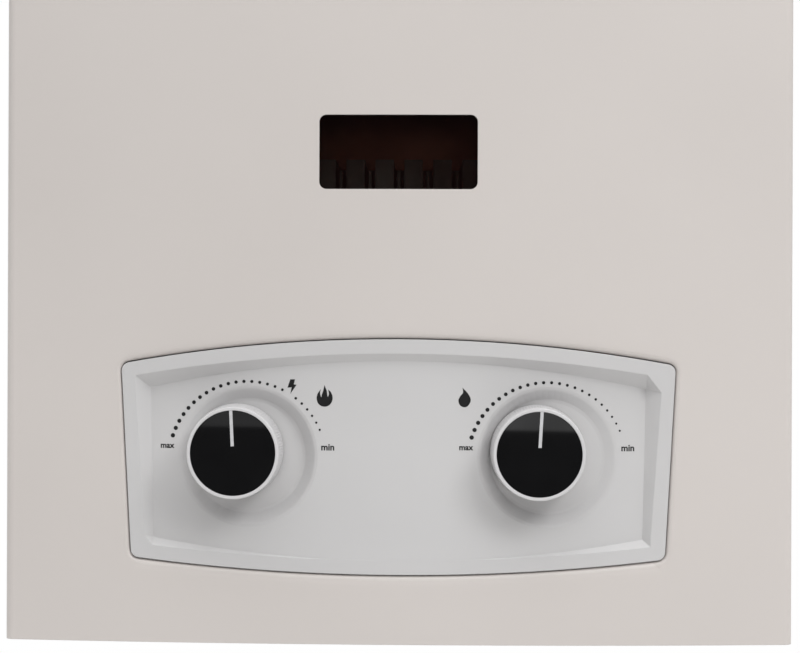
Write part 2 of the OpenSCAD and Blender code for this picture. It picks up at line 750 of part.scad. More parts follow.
module gas_valve_body() {
    color(steel_colour) difference() {
        union() {
            rod([gas_left_x, -valve_y, spindle_z], [gas_right_x, -valve_y, spindle_z], gas_barrel_r);
            rod([gas_right_x - 5, -valve_y, spindle_z], [gas_right_x, -valve_y, spindle_z], gas_barrel_r + 3);
            rod([gas_left_x, -valve_y, spindle_z], [gas_left_x + 5, -valve_y, spindle_z], gas_barrel_r + 3);
            rod([gas_x, -valve_y, spindle_z], [gas_x, boss_front_y, spindle_z], 10);
            rod([gas_x, boss_front_y + 5, spindle_z], [gas_x, boss_front_y, spindle_z], 14);
            rod([gas_in_x, -valve_y, port_bottom_z], [gas_in_x, -valve_y, spindle_z], gas_pipe_r + 4);
            rod([gas_out_x, -valve_y, spindle_z], [gas_out_x, -valve_y, outlet_z], gas_pipe_r + 3);
            rod([solenoid_x, -valve_y, spindle_z], [solenoid_x, -valve_y, seat_z], solenoid_r + 2);
            wall_leg(gas_left_x + 14);
            wall_leg(gas_right_x - 12);
        }
        spindle_bore(gas_x);
        rod([gas_right_x - rod_sink - rod_travel - rod_end_room, -valve_y, spindle_z],
            [gas_right_x + 1, -valve_y, spindle_z], rod_r + rod_fit);
    }
}

module gas_valve_cap() {
    color(steel_colour) {
        rod([gas_left_x - cap_t, -valve_y, spindle_z], [gas_left_x, -valve_y, spindle_z], gas_barrel_r + 3);
        for (a = [45:90:315])
            translate([gas_left_x - cap_t - 1.5, -valve_y + (gas_barrel_r - 1) * cos(a), spindle_z + (gas_barrel_r - 1) * sin(a)])
                rotate([0, 90, 0]) cylinder(h = 2, r = 2.6, $fn = 24);
    }
}

module solenoid_valve() {
    color(dark_colour) translate([solenoid_x, -valve_y, seat_z]) {
        cylinder(h = 3, r = solenoid_r + 2, $fn = round_fn);
        cylinder(h = solenoid_h, r = solenoid_r, $fn = round_fn);
        translate([-4, -solenoid_r - 3, solenoid_h - 9]) cube([8, 6, 6]);
    }
}

// Water valve: diaphragm flange, barrel, spindle boss, cold inlet below, outlet above, drain boss
flange_screws = 6;
flange_screw_r = 2;

module flange_bores(from, to) {
    for (i = [0:flange_screws - 1]) let (a = 60 * i)
        translate([from, -valve_y + (diaphragm_r - 5) * cos(a), spindle_z + (diaphragm_r - 5) * sin(a)])
            rotate([0, 90, 0]) cylinder(h = to - from, r = flange_screw_r + 0.05, $fn = 24);
}

module water_valve_body() {
    color(brass_colour) difference() {
        union() {
            rod([body_x, -valve_y, spindle_z], [body_x + flange_t, -valve_y, spindle_z], diaphragm_r);
            rod([body_x, -valve_y, spindle_z], [water_right_x, -valve_y, spindle_z], water_barrel_r);
            rod([water_right_x - 6, -valve_y, spindle_z], [water_right_x + 3, -valve_y, spindle_z], water_barrel_r - 3, 6);
            rod([water_x, -valve_y, spindle_z], [water_x, boss_front_y, spindle_z], 10);
            rod([water_x, boss_front_y + 5, spindle_z], [water_x, boss_front_y, spindle_z], 13);
            rod([cold_x, -valve_y, port_bottom_z], [cold_x, -valve_y, spindle_z], water_pipe_r + 4);
            rod([feed_x, -valve_y, spindle_z], [feed_x, -valve_y, outlet_z], water_pipe_r + 3);
            rod([drain_x, -valve_y, spindle_z - 26], [drain_x, -valve_y, spindle_z], 8);
            wall_leg(water_x + 8);
        }
        spindle_bore(water_x);
        flange_bores(body_x - 1, body_x + 9);
        rod([drain_x, -valve_y, spindle_z - 27], [drain_x, -valve_y, spindle_z - 16], 4.05);
    }
}

module diaphragm_cover() {
    color(brass_colour) difference() {
        union() {
            rod([cover_x + 2, -valve_y, spindle_z], [body_x, -valve_y, spindle_z], diaphragm_r);
            rod([cover_x - 6, -valve_y, spindle_z], [body_x, -valve_y, spindle_z], 10);
        }
        rod([cover_x - 7, -valve_y, spindle_z], [body_x - 1, -valve_y, spindle_z], rod_r + rod_fit);
        flange_bores(cover_x, body_x + 1);
    }
}

module valve_screws() {
    color(steel_colour) for (i = [0:flange_screws - 1]) let (a = 60 * i)
        translate([0, -valve_y + (diaphragm_r - 5) * cos(a), spindle_z + (diaphragm_r - 5) * sin(a)])
            rotate([0, 90, 0]) {
                translate([0, 0, cover_x - 1]) cylinder(h = 3, r = 3.4, $fn = 6);
                translate([0, 0, cover_x + 2 - eps]) cylinder(h = 15, r = flange_screw_r, $fn = 24);
            }
}

module drain_plug() {
    color(brass_colour) {
        rod([drain_x, -valve_y, spindle_z - 34], [drain_x, -valve_y, spindle_z - 26], 7);
        rod([drain_x, -valve_y, spindle_z - 27], [drain_x, -valve_y, spindle_z - 17], 4);
    }
}

// Push rod between the two valves, the finger on it, and the switch that it works
finger_x = -14;
finger_t = 1.5;
finger_h = 16;
switch_x = -6;
button_r = 1.5;

module push_rod() {
    color(steel_colour) rod([gas_right_x - rod_sink, -valve_y, spindle_z], [body_x - 2, -valve_y, spindle_z], rod_r);
}

module switch_finger() {
    color(steel_colour) difference() {
        union() {
            rod([finger_x - 4, -valve_y, spindle_z], [finger_x, -valve_y, spindle_z], 5);
            translate([finger_x - finger_t, -valve_y - 4, spindle_z]) cube([finger_t, 8, finger_h]);
        }
        rod([finger_x - 5, -valve_y, spindle_z], [finger_x + 1, -valve_y, spindle_z], rod_r + 0.02);
    }
}

module microswitch() {
    button_z = spindle_z + finger_h - 3;
    color(dark_colour) difference() {
        translate([switch_x, -valve_y - 5, button_z - 3]) cube([cover_x + 2 - switch_x, 10, 20]);
        rod([switch_x - 1, -valve_y, button_z], [switch_x + 7, -valve_y, button_z], button_r + 0.05);
    }
}

module switch_button() {
    button_z = spindle_z + finger_h - 3;
    color("white") rod([finger_x, -valve_y, button_z], [switch_x + 6, -valve_y, button_z], button_r);
}

// Gas manifold: tube across the front with its riser from the gas valve, drilled for the injectors
injector_r = 3;
injector_tip_y = mouth_y - 1.5;
injector_sink = 4;
function bar_x(i) = (i - (bar_count - 1) / 2) * bar_pitch;

module gas_manifold() {
    riser_z = manifold_z - manifold_r - gas_pipe_r - 3;
    color(steel_colour) difference() {
        union() {
            rod([-bars_half - 3, manifold_y, manifold_z], [bars_half + 3, manifold_y, manifold_z], manifold_r);
            pipe([
                [gas_out_x, -valve_y, outlet_z], [gas_out_x, -valve_y, riser_z],
                [gas_out_x, manifold_y, riser_z], [gas_out_x, manifold_y, manifold_z]
            ], gas_pipe_r, 11);
            rod([gas_out_x, -valve_y, outlet_z], [gas_out_x, -valve_y, outlet_z + 6], gas_pipe_r + 4, 6);
        }
        for (i = [0:bar_count - 1])
            rod([bar_x(i), manifold_y + manifold_r - injector_sink, manifold_z],
                [bar_x(i), manifold_y + manifold_r + 1, manifold_z], injector_r + 0.05, 24);
    }
}

module injectors() {
    color(brass_colour) for (i = [0:bar_count - 1]) {
        rod([bar_x(i), manifold_y + manifold_r - injector_sink + 0.2, manifold_z],
            [bar_x(i), injector_tip_y, manifold_z], injector_r, 24);
        rod([bar_x(i), manifold_y + manifold_r + 0.1, manifold_z],
            [bar_x(i), manifold_y + manifold_r + 3, manifold_z], 4.6, 6);
    }
}

// One burner bar: a flat sheet tube that runs back, turns up and carries the flame slots on top
slot_w = 2;
slot_depth = 4;

module burner_bar() {
    low_z = burner_top_z - bar_h;
    length = bar_back_y - bar_front_y;
    rotate([90, 0, 90]) linear_extrude(bar_t, center = true) difference() {
        union() {
            translate([bar_front_y, slot_high_z]) square([length, burner_top_z - slot_high_z]);
            translate([mouth_y, low_z]) square([length - 24, slot_low_z - low_z]);
            translate([bar_back_y - 24, low_z + 20]) square([24, slot_high_z - low_z - 19]);
            translate([bar_back_y - 20, low_z + 20]) circle(20, $fn = round_fn);
        }
        translate([bar_front_y - 1, slot_low_z]) square([length - 23, slot_high_z - slot_low_z]);
        translate([bar_back_y - 24, (slot_low_z + slot_high_z) / 2]) circle((slot_high_z - slot_low_z) / 2, $fn = round_fn);
        for (i = [0:flame_slots - 1])
            translate([bar_front_y + length * (i + 0.7) / (flame_slots + 0.4) - slot_w / 2, burner_top_z - slot_depth])
                square([slot_w, slot_depth + 1]);
    }
}

module burner_bars() {
    color(steel_colour) for (i = [0:bar_count - 1]) difference() {
        translate([bar_x(i), 0, 0]) burner_bar();
        rod([bar_x(i), mouth_y - 1, manifold_z], [bar_x(i), mouth_y + 22, manifold_z], injector_r, 24);
    }
}

// Burner frame: end plates, two rails through the bars, air strips between them, electrode tabs
electrode_x = 41;
electrode_y = manifold_y + 5.5;
ceramic_r = 3.5;
plate_t = 1.5;
rail_d = 3;
strip_t = 1.2;
tab_t = 3;

module burner_frame() {
    low_z = burner_top_z - bar_h;
    plate_x = bars_half + seat_gap;
    color(steel_colour) difference() {
        union() {
            for (s = [-1, 1]) {
                translate([s * (plate_x + plate_t / 2) - plate_t / 2, bar_front_y, low_z])
                    cube([plate_t, chamber_d, chamber_z - low_z - seat_gap]);
                translate([s > 0 ? plate_x : -chamber_w / 2, bar_front_y, chamber_z - seat_gap - plate_t])
                    cube([chamber_w / 2 - plate_x, chamber_d, plate_t]);
            }
            for (y = [bar_front_y + 9, bar_front_y + 60])
                translate([-plate_x, y, slot_low_z + seat_gap])
                    cube([2 * plate_x, rail_d, slot_high_z - slot_low_z - 2 * seat_gap]);
            for (i = [0:bar_count - 2])
                translate([bar_x(i + 0.5) - strip_t / 2, bar_front_y + 2, slot_low_z + 4])
                    cube([strip_t, chamber_d - 30, burner_top_z - slot_low_z - 9]);
            for (s = [-1, 1])
                translate([s * electrode_x - 6, electrode_y - 6, slot_low_z + 5])
                    cube([12, bar_front_y + 10 - electrode_y + 6, tab_t]);
        }
        for (s = [-1, 1])
            translate([s * electrode_x, electrode_y, slot_low_z]) cylinder(h = 12, r = ceramic_r + 0.05, $fn = 32);
    }
}

// An electrode: ceramic sleeve in its tab and a bent wire over the burner
module electrode(x, reach) {
    wire_r = 0.9;
    top_z = burner_top_z + 5;
    color("white") {
        rod([x, electrode_y, manifold_z + manifold_r + 1], [x, electrode_y, top_z], ceramic_r, 32);
        rod([x, electrode_y, slot_low_z + 5 + tab_t], [x, electrode_y, slot_low_z + 8 + tab_t], ceramic_r + 1.4, 32);
        pipe([
            [x, electrode_y, top_z], [x, electrode_y, top_z + 5],
            [x, electrode_y + reach, top_z + 5], [x, electrode_y + reach, burner_top_z + 3]
        ], wire_r, 2);
    }
}

module ignition_electrode() { electrode(-electrode_x, 16); }
module flame_electrode() { electrode(electrode_x, 20); }

// Combustion chamber and exchanger casing: open copper box with tube holes, sight cut-out and wall arms
arm_z = coil_high_z + 20;
arm_h = 10;
tube_fit = 0.05;
sight_cut_half = 46;
sight_cut_top = window_z + window_h / 2 + 7;
function tube_y(i) = chamber_y + (i - (tube_count - 1) / 2) * tube_pitch;

module combustion_chamber() {
    color(copper_colour) difference() {
        union() {
            difference() {
                translate([-chamber_w / 2, bar_front_y, chamber_z]) cube([chamber_w, chamber_d, chamber_h]);
                translate([-chamber_w / 2 + copper_t, bar_front_y + copper_t, chamber_z - 1])
                    cube([chamber_w - 2 * copper_t, chamber_d - 2 * copper_t, chamber_h + 2]);
            }
            for (s = [-1, 1]) translate([s * 60 - 8, bar_back_y, arm_z]) {
                cube([16, -bar_back_y - sheet_t, 2]);
                translate([0, -bar_back_y - sheet_t - 2, 0]) cube([16, 2, arm_h]);
                translate([0, 0, 0]) cube([16, 2, arm_h]);
            }
        }
        for (i = [0:tube_count - 1])
            rod([-chamber_w, tube_y(i), tube_z], [chamber_w, tube_y(i), tube_z], tube_r + tube_fit);
        translate([-sight_cut_half, bar_front_y - 1, chamber_z - 1])
            cube([2 * sight_cut_half, copper_t + 2, sight_cut_top - chamber_z + 1]);
    }
}

fin_t = 0.6;
module exchanger_fins() {
    inner = chamber_w - 2 * copper_t - 2;
    count = floor((inner - fin_t) / fin_pitch);
    color(copper_colour) for (i = [0:count]) let (x = (i - count / 2) * fin_pitch)
        difference() {
            translate([x - fin_t / 2, bar_front_y + copper_t + 0.5, fin_z]) cube([fin_t, chamber_d - 2 * copper_t - 1, fin_h]);
            for (k = [0:tube_count - 1])
                rod([x - 1, tube_y(k), tube_z], [x + 1, tube_y(k), tube_z], tube_r + tube_fit);
        }
}

module exchanger_tubes() {
    color(copper_colour) for (i = [0:tube_count - 1])
        rod([-tube_end_x, tube_y(i), tube_z], [tube_end_x, tube_y(i), tube_z], tube_r);
}

module return_bends() {
    color(copper_colour) for (i = [0:tube_count - 2]) let (s = i % 2 == 0 ? 1 : -1)
        translate([s * tube_end_x, (tube_y(i) + tube_y(i + 1)) / 2, tube_z]) rotate([0, 0, s > 0 ? -90 : 90])
            rotate_extrude(angle = 180, $fn = 64) translate([tube_pitch / 2, 0]) circle(tube_r, $fn = 32);
}

// Water coil wound twice round the outside of the chamber
feed_join_z = chamber_z - 8;
module chamber_coil() {
    end_y = tube_y(0);
    color(copper_colour) pipe([
        [coil_x, -valve_y, feed_join_z], [coil_x, -valve_y, coil_low_z], [coil_x, coil_back_y, coil_low_z],
        [-coil_x, coil_back_y, coil_low_z], [-coil_x, coil_front_y, coil_low_z], [coil_x, coil_front_y, coil_low_z],
        [coil_x, coil_front_y, coil_high_z], [coil_x, coil_back_y, coil_high_z], [-coil_x, coil_back_y, coil_high_z],
        [-coil_x, end_y, coil_high_z], [-coil_x, end_y, tube_z], [-tube_end_x, end_y, tube_z]
    ], tube_r, pipe_bend);
}

module feed_pipe() {
    turn_z = outlet_z + 18;
    color(copper_colour) {
        pipe([[feed_x, -valve_y, outlet_z], [feed_x, -valve_y, turn_z], [coil_x, -valve_y, turn_z],
              [coil_x, -valve_y, feed_join_z]], water_pipe_r, pipe_bend);
        rod([feed_x, -valve_y, outlet_z], [feed_x, -valve_y, outlet_z + 5], water_pipe_r + 4, 6);
        rod([coil_x, -valve_y, feed_join_z - 14], [coil_x, -valve_y, feed_join_z], water_pipe_r + 4, 6);
    }
}

// Connections below the casing: threaded stub with its bore and a collar
stub_r = 10.2;
stub_l = 16;
stub_bore_r = 6;
stub_top_z = -connection_drop + stub_l;
pipe_foot_z = stub_top_z + 6;
nut_h = 8;
nut_r = 14;
module connection(x, y, r) {
    translate([x, y, -connection_drop]) difference() {
        union() {
            cylinder(h = stub_l, r = stub_r, $fn = round_fn);
            cylinder(h = stub_l + nut_h, r = r, $fn = round_fn);
        }
        translate([0, 0, -1]) cylinder(h = stub_l + 5, r = stub_bore_r, $fn = round_fn);
    }
}

module hot_pipe() {
    start = tube_y(tube_count - 1);
    color(copper_colour) {
        pipe([[-tube_end_x, start, tube_z], [hot_x, start, tube_z], [hot_x, start, pipe_foot_z]], water_pipe_r, pipe_bend);
        connection(hot_x, start, water_pipe_r);
    }
}

module gas_inlet() {
    color(steel_colour) {
        rod([gas_in_x, -valve_y, pipe_foot_z], [gas_in_x, -valve_y, port_bottom_z], gas_pipe_r);
        connection(gas_in_x, -valve_y, gas_pipe_r);
    }
}

module cold_inlet() {
    color(copper_colour) {
        rod([cold_x, -valve_y, pipe_foot_z], [cold_x, -valve_y, port_bottom_z], water_pipe_r);
        connection(cold_x, -valve_y, water_pipe_r);
    }
}

module union_nuts() {
    color(brass_colour)
        for (p = pipe_places)
            translate([p[0], p[1], stub_top_z]) difference() {
                rotate([0, 0, 30]) cylinder(h = nut_h, r = nut_r, $fn = 6);
                translate([0, 0, -1]) cylinder(h = nut_h + 2, r = p[2] + 0.05, $fn = round_fn);
            }
}

// Draught hood: skirt over the chamber, cone up to the collar's stub, relief opening in front
hood_t = 1;
relief_w = 150;
relief_h = 18;
skirt_z = chamber_top_z - 8;
cone_z = chamber_top_z + 26;
module hood_form(grow) {
    hull() {
        translate([-chamber_w / 2 - grow, bar_front_y - grow, cone_z]) cube([chamber_w + 2 * grow, chamber_d + 2 * grow, 1]);
        translate([0, flue_y, stub_z - 1]) cylinder(h = 1, r = collar_r - 12 + grow, $fn = 48);
    }
    translate([-chamber_w / 2 - grow, bar_front_y - grow, skirt_z])
        cube([chamber_w + 2 * grow, chamber_d + 2 * grow, cone_z - skirt_z + eps]);
}

module draught_hood() {
    color(steel_colour) difference() {
        union() {
            hood_form(seat_gap + hood_t);
            translate([0, flue_y, stub_z - 2]) cylinder(h = 16, r = collar_r + 1.3, $fn = 96);
        }
        hood_form(seat_gap);
        translate([0, 0, -1]) hood_form(seat_gap);
        translate([0, flue_y, stub_z - 3]) cylinder(h = 4, r = collar_r - 13, $fn = 96);
        translate([0, flue_y, stub_z]) cylinder(h = 20, r = collar_r + 0.05, $fn = 96);
        translate([-relief_w / 2, bar_front_y - 5, chamber_top_z + 3]) cube([relief_w, 10, relief_h]);
    }
}

bead_h = 3;
module flue_collar() {
    color(steel_colour) difference() {
        union() {
            translate([0, flue_y, stub_z]) cylinder(h = collar_top_z - stub_z, r = collar_r, $fn = 96);
            translate([0, flue_y, stub_z + 14]) cylinder(h = 1.5, r = collar_r + 7, $fn = 96);
            // Stop bead for the flue pipe
            translate([0, flue_y, casing_h - 1]) cylinder(h = bead_h, r = collar_r + 2, $fn = 96);
        }
        translate([0, flue_y, stub_z - 1]) cylinder(h = collar_top_z, r = collar_r - 1, $fn = 96);
    }
}

module overheat_thermostat() {
    color(dark_colour) {
        rod([62, bar_front_y - 9, arm_z], [62, bar_front_y, arm_z], 8);
        rod([62, bar_front_y - 2, arm_z], [62, bar_front_y, arm_z], 12);
    }
}

module flue_sensor() {
    z = chamber_top_z + 12;
    y = bar_front_y - seat_gap - hood_t;
    color(dark_colour) {
        rod([91, y - 8, z], [91, y, z], 6);
        rod([91, y - 1.5, z], [91, y, z], 9);
    }
}

// Ignition module low on the back plate, between the shelf and the valves' legs
module_x = 10;
module_w = 100;
module_h = 36;
module_t = 30;
module_ear = 6;
terminal_h = 5;
module ignition_module() {
    z = shelf_z + sheet_t + 2 + module_h / 2;
    color(dark_colour) translate([module_x, -sheet_t, z]) rotate([90, 0, 0]) {
        linear_extrude(module_t) rounded_rect(module_w, module_h, 4);
        linear_extrude(3) rounded_rect(module_w + 2 * module_ear, module_h - 12, 3);
        for (i = [-1:1])
            translate([i * module_w / 4 - 4, module_h / 2, module_t / 3]) cube([8, terminal_h, 8]);
    }
}

// Battery box under the bezel, open below, with two cells and a lid hinged along its back edge
hinge_r = 1.5;
hinge_y = box_back_y + 1;
hinge_z = box_z - 0.5;
module battery_box() {
    height = box_d;
    color(dark_colour) difference() {
        union() {
            translate([box_x, box_front_y, box_z]) cube([box_l, box_d, height]);
            // Ears that rest on the shelf's folded front edge
            translate([box_x, box_back_y - eps, shelf_z + shelf_fold]) cube([box_l, -shelf_d - box_back_y + 6, 2]);
            for (x = [box_x + 6, box_x + box_l - 12])
                translate([x, hinge_y, hinge_z]) rotate([0, 90, 0]) cylinder(h = 6, r = hinge_r + 1.5, $fn = 32);
        }
        translate([box_x + box_wall, box_front_y + box_wall, box_z - 1])
            cube([box_l - 2 * box_wall, box_d - 2 * box_wall, height - box_wall + 1]);
        rod([box_x, hinge_y, hinge_z], [box_x + box_l, hinge_y, hinge_z], hinge_r + 0.05, 32);
    }
}

module battery_cells() {
    y = box_back_y - box_d / 2;
    z = box_z + box_d - box_wall - cell_r - 0.3;
    color([0.75, 0.6, 0.3]) for (i = [0, 1]) let (x = box_x + box_wall + 0.5 + i * (cell_h + 1.6)) {
        rod([x, y, z], [x + cell_h, y, z], cell_r);
        rod([x + cell_h - eps, y, z], [x + cell_h + 1.3, y, z], 3.2, 32);
    }
}

module battery_lid() {
    color(dark_colour) {
        translate([box_x, box_front_y, box_z - lid_t - 0.2]) cube([box_l, box_d - 3, lid_t]);
        rod([box_x + 4, hinge_y, hinge_z], [box_x + box_l - 4, hinge_y, hinge_z], hinge_r, 32);
        for (x = [box_x + 14, box_x + box_l - 20])
            translate([x, hinge_y - 5, box_z - lid_t - 0.2]) cube([6, 5, lid_t]);
        translate([box_x + box_l / 2 - 10, box_front_y - 3, box_z - lid_t - 0.2]) cube([20, 3.5, lid_t]);
    }
}

back_plate();
front_cover();
cover_screws();
sight_glass();
sight_glass_frame();
control_bezel();
gas_knob();
gas_knob_disc();
gas_knob_pointer();
water_knob();
water_knob_disc();
water_knob_pointer();
gas_spindle();
water_spindle();
gas_valve_body();
gas_valve_cap();
water_valve_body();
diaphragm_cover();
valve_screws();
push_rod();
microswitch();
switch_finger();
switch_button();
solenoid_valve();
gas_manifold();
injectors();
burner_bars();
burner_frame();
ignition_electrode();
flame_electrode();
combustion_chamber();
exchanger_fins();
exchanger_tubes();
return_bends();
chamber_coil();
feed_pipe();
hot_pipe();
draught_hood();
flue_collar();
overheat_thermostat();
flue_sensor();
gas_inlet();
cold_inlet();
union_nuts();
drain_plug();
ignition_module();
battery_box();
battery_cells();
battery_lid();
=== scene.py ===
# %% [markdown]
# The object is a wall-hung gas water heater: a bowed sheet-steel cover with a sight window and a white
# moulded bezel that holds two knobs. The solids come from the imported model, which fixes every size and
# place. What is left for this file is the finish of each surface, the printing on the dials, the knurled
# grip of the knobs, the pipe threads, the light and the camera.

# %% Load the fixed frame
import json
import math
import bmesh
import bpy
from mathutils import Matrix, Vector
from mathutils.bvhtree import BVHTree


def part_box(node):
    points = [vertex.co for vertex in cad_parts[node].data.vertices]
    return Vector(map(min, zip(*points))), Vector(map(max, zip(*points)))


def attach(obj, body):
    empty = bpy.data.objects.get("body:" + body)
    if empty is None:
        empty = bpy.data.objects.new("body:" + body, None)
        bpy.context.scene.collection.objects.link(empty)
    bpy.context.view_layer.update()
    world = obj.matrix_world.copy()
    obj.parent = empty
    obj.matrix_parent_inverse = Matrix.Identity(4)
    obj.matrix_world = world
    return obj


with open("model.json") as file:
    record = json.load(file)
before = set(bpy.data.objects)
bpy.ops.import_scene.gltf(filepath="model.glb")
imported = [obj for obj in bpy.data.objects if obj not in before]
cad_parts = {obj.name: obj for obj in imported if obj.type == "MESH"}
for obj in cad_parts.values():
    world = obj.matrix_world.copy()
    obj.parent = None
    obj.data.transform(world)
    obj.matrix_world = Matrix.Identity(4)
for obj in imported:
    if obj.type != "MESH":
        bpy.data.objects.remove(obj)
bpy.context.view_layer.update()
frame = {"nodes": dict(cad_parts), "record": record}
nodes = frame["nodes"]

MM = 0.001


def mm(*values):
    """Millimetres to metres, one value or several."""
    scaled = tuple(v * MM for v in values)
    return scaled if len(scaled) > 1 else scaled[0]


# %% [markdown]
# Colours are written as sRGB hex, as a paint chart or a photo editor gives them. Blender's shaders work
# in linear light, so one function converts them. A second small function adds a node to any tree, sets
# its options and fills its sockets, with a number or with a link from another node.

# %% Colour and node helpers
def linear(code):
    """An sRGB hex colour as linear RGBA."""
    channels = [int(code[i:i + 2], 16) / 255 for i in (1, 3, 5)]
    return tuple(c / 12.92 if c <= 0.04045 else ((c + 0.055) / 1.055) ** 2.4 for c in channels) + (1.0,)


def add(tree, kind, inputs=None, **settings):
    """Adds one node. inputs maps a socket's name or number to a value or to an output socket."""
    made = tree.nodes.new(kind)
    for key, value in settings.items():
        setattr(made, key, value)
    for key, value in (inputs or {}).items():
        if isinstance(value, bpy.types.NodeSocket):
            tree.links.new(value, made.inputs[key])
        else:
            made.inputs[key].default_value = value
    return made


def new_material(name, **shader):
    """A material with one Principled shader; shader maps its sockets' names to values."""
    material = bpy.data.materials.new(name)
    material.use_nodes = True
    tree = material.node_tree
    surface = tree.nodes["Principled BSDF"]
    for key, value in shader.items():
        surface.inputs[key.replace("_", " ")].default_value = value
    place = add(tree, "ShaderNodeTexCoord").outputs["Object"]
    return material, tree, surface, place


print("#808080 in linear light:", round(linear("#808080")[0], 3))

# %% [markdown]
# Real finishes are never one flat colour. Each one here gets a mottle between two close shades, and most
# also a relief of a real depth that breaks its gloss. Both read Object coordinates, which are metres, so
# the scale of a texture is one over the real size of its features.

# %% Patterns of a real size
NOISE_LOW, NOISE_HIGH = 0.3, 0.7  # nearly all of a noise lies between these


def per_metre(size_mm):
    """Scale of a texture whose features are this many millimetres apart."""
    return 1 / mm(size_mm)


def mottle(tree, place, size_mm, detail):
    """A noise of a real size, spread from 0 to 1."""
    noise = add(tree, "ShaderNodeTexNoise", {"Vector": place, "Scale": per_metre(size_mm),
                                             "Detail": detail})
    spread = add(tree, "ShaderNodeMapRange", {"Value": noise.outputs["Fac"], "From Min": NOISE_LOW,
                                              "From Max": NOISE_HIGH})
    return spread.outputs[0]


def tint(tree, surface, factor, dark, light):
    """Base colour between two hex colours, by a factor."""
    mix = add(tree, "ShaderNodeMix", {0: factor, 6: linear(dark), 7: linear(light)}, data_type="RGBA")
    tree.links.new(mix.outputs[2], surface.inputs["Base Color"])


def relief(tree, height, depth_mm, strength=1.0, under=None):
    """A normal bent by a height between 0 and 1 of a real depth, over another normal if one is given."""
    bump = add(tree, "ShaderNodeBump", {"Height": height, "Distance": mm(depth_mm),
                                        "Strength": strength})
    if under is not None:
        tree.links.new(under, bump.inputs["Normal"])
    return bump.outputs[0]


print("a mottle of 160 mm has a texture scale of", per_metre(160))

# %% [markdown]
# The cover's sheet was pressed in a little round the bezel's opening. Such a dip, a fraction of a
# millimetre over a few millimetres of sheet, shows only as a soft line of light, so it is drawn as
# relief. Its height falls with the distance to the opening's two bowed edges, each a parabola across
# the panel: the lower one hangs down in the middle, the upper one rises.

# %% The pressed edge round the opening
# For each edge, in mm: height of its ends, rise of its middle, half its width; then the side on which
# the sheet lies and the share of the full dip
OPENING_EDGES = ((35.9, -6.7, 112.0, -1.0, 1.0), (117.0, 10.7, 116.4, 1.0, 0.4))
PRESSED_W, PRESSED_DEPTH = 5.5, 0.9
CORNER_W = 6.0  # the dip fades out over this width before the opening's corners
UNDER_BEZEL = 1.5  # and ends this far inside the edge, where the bezel hides it


def pressed_edge(tree, place):
    """Height of the sheet, from 0 at the bottom of the dip to 1 where the sheet is flat."""
    x, _, z = add(tree, "ShaderNodeSeparateXYZ", {0: place}).outputs
    beside = add(tree, "ShaderNodeMath", {0: x}, operation="ABSOLUTE").outputs[0]
    dips = []
    for end_z, rise, half_w, side, share in OPENING_EDGES:
        across = add(tree, "ShaderNodeMath", {0: x, 1: mm(half_w)}, operation="DIVIDE").outputs[0]
        square = add(tree, "ShaderNodeMath", {0: across, 1: 2.0}, operation="POWER").outputs[0]
        edge = add(tree, "ShaderNodeMath", {0: square, 1: mm(-rise), 2: mm(end_z + rise)},
                   operation="MULTIPLY_ADD").outputs[0]
        above = add(tree, "ShaderNodeMath", {0: z, 1: edge}, operation="SUBTRACT").outputs[0]
        away = add(tree, "ShaderNodeMath", {0: above, 1: side}, operation="MULTIPLY").outputs[0]
        past_end = add(tree, "ShaderNodeMath", {0: beside, 1: mm(half_w - CORNER_W)},
                       operation="SUBTRACT").outputs[0]
        farther = add(tree, "ShaderNodeMath", {0: away, 1: past_end}, operation="MAXIMUM").outputs[0]
        near = add(tree, "ShaderNodeMapRange", {"Value": farther, "From Max": mm(PRESSED_W),
                                                "To Min": 1.0, "To Max": 0.0}).outputs[0]
        soft = add(tree, "ShaderNodeMath", {0: near, 1: 2.0}, operation="POWER").outputs[0]
        fall = add(tree, "ShaderNodeMath", {0: soft, 1: share}, operation="MULTIPLY").outputs[0]
        on_sheet = add(tree, "ShaderNodeMath", {0: away, 1: mm(-UNDER_BEZEL)},
                       operation="GREATER_THAN").outputs[0]
        dips.append(add(tree, "ShaderNodeMath", {0: fall, 1: on_sheet}, operation="MULTIPLY").outputs[0])
    deepest = add(tree, "ShaderNodeMath", {0: dips[0], 1: dips[1]}, operation="MAXIMUM").outputs[0]
    return add(tree, "ShaderNodeMath", {0: 1.0, 1: deepest}, operation="SUBTRACT").outputs[0]


print("edges with a pressed dip:", len(OPENING_EDGES), "over", PRESSED_W, "mm")

# %% [markdown]
# The cover is sheet steel with a baked powder coat. Powder coat flows out into a very fine orange peel,
# so its gloss is soft and broken, and its colour hardly changes over the panel. A faint cloud over some
# hundred millimetres keeps it from looking like a flat fill. A Bevel node turns the normal over the
# sheet's bends, because real sheet has no knife edge.

# %% Powder coat of the cover
BEVEL_SAMPLES = 6
SHEET_BEND_R = 0.4
finishes = {}


def powder_coat():
    material, tree, surface, place = new_material("powder_coated_steel", Roughness=0.42,
                                                  Specular_IOR_Level=0.4)
    tint(tree, surface, mottle(tree, place, size_mm=160, detail=2.0), "#CDC7C3", "#D1CBC7")
    bend = add(tree, "ShaderNodeBevel", {"Radius": mm(SHEET_BEND_R)}, samples=BEVEL_SAMPLES).outputs[0]
    pressed = relief(tree, pressed_edge(tree, place), PRESSED_DEPTH, under=bend)
    peel = mottle(tree, place, size_mm=1.1, detail=2.0)
    orange_peel = relief(tree, peel, depth_mm=0.012, strength=0.5, under=pressed)
    tree.links.new(orange_peel, surface.inputs["Normal"])
    return material


finishes["painted_sheet"] = powder_coat()
print("cover:", finishes["painted_sheet"].name)

# %% [markdown]
# Bezel and knobs are injection-moulded ABS, a shade cooler than the paint. A polished mould leaves a
# satin skin: a broad highlight with faint flow marks. A mould's edges are rounded too, the bezel's a
# little more than the knobs', and the bezel's plastic is a shade darker.

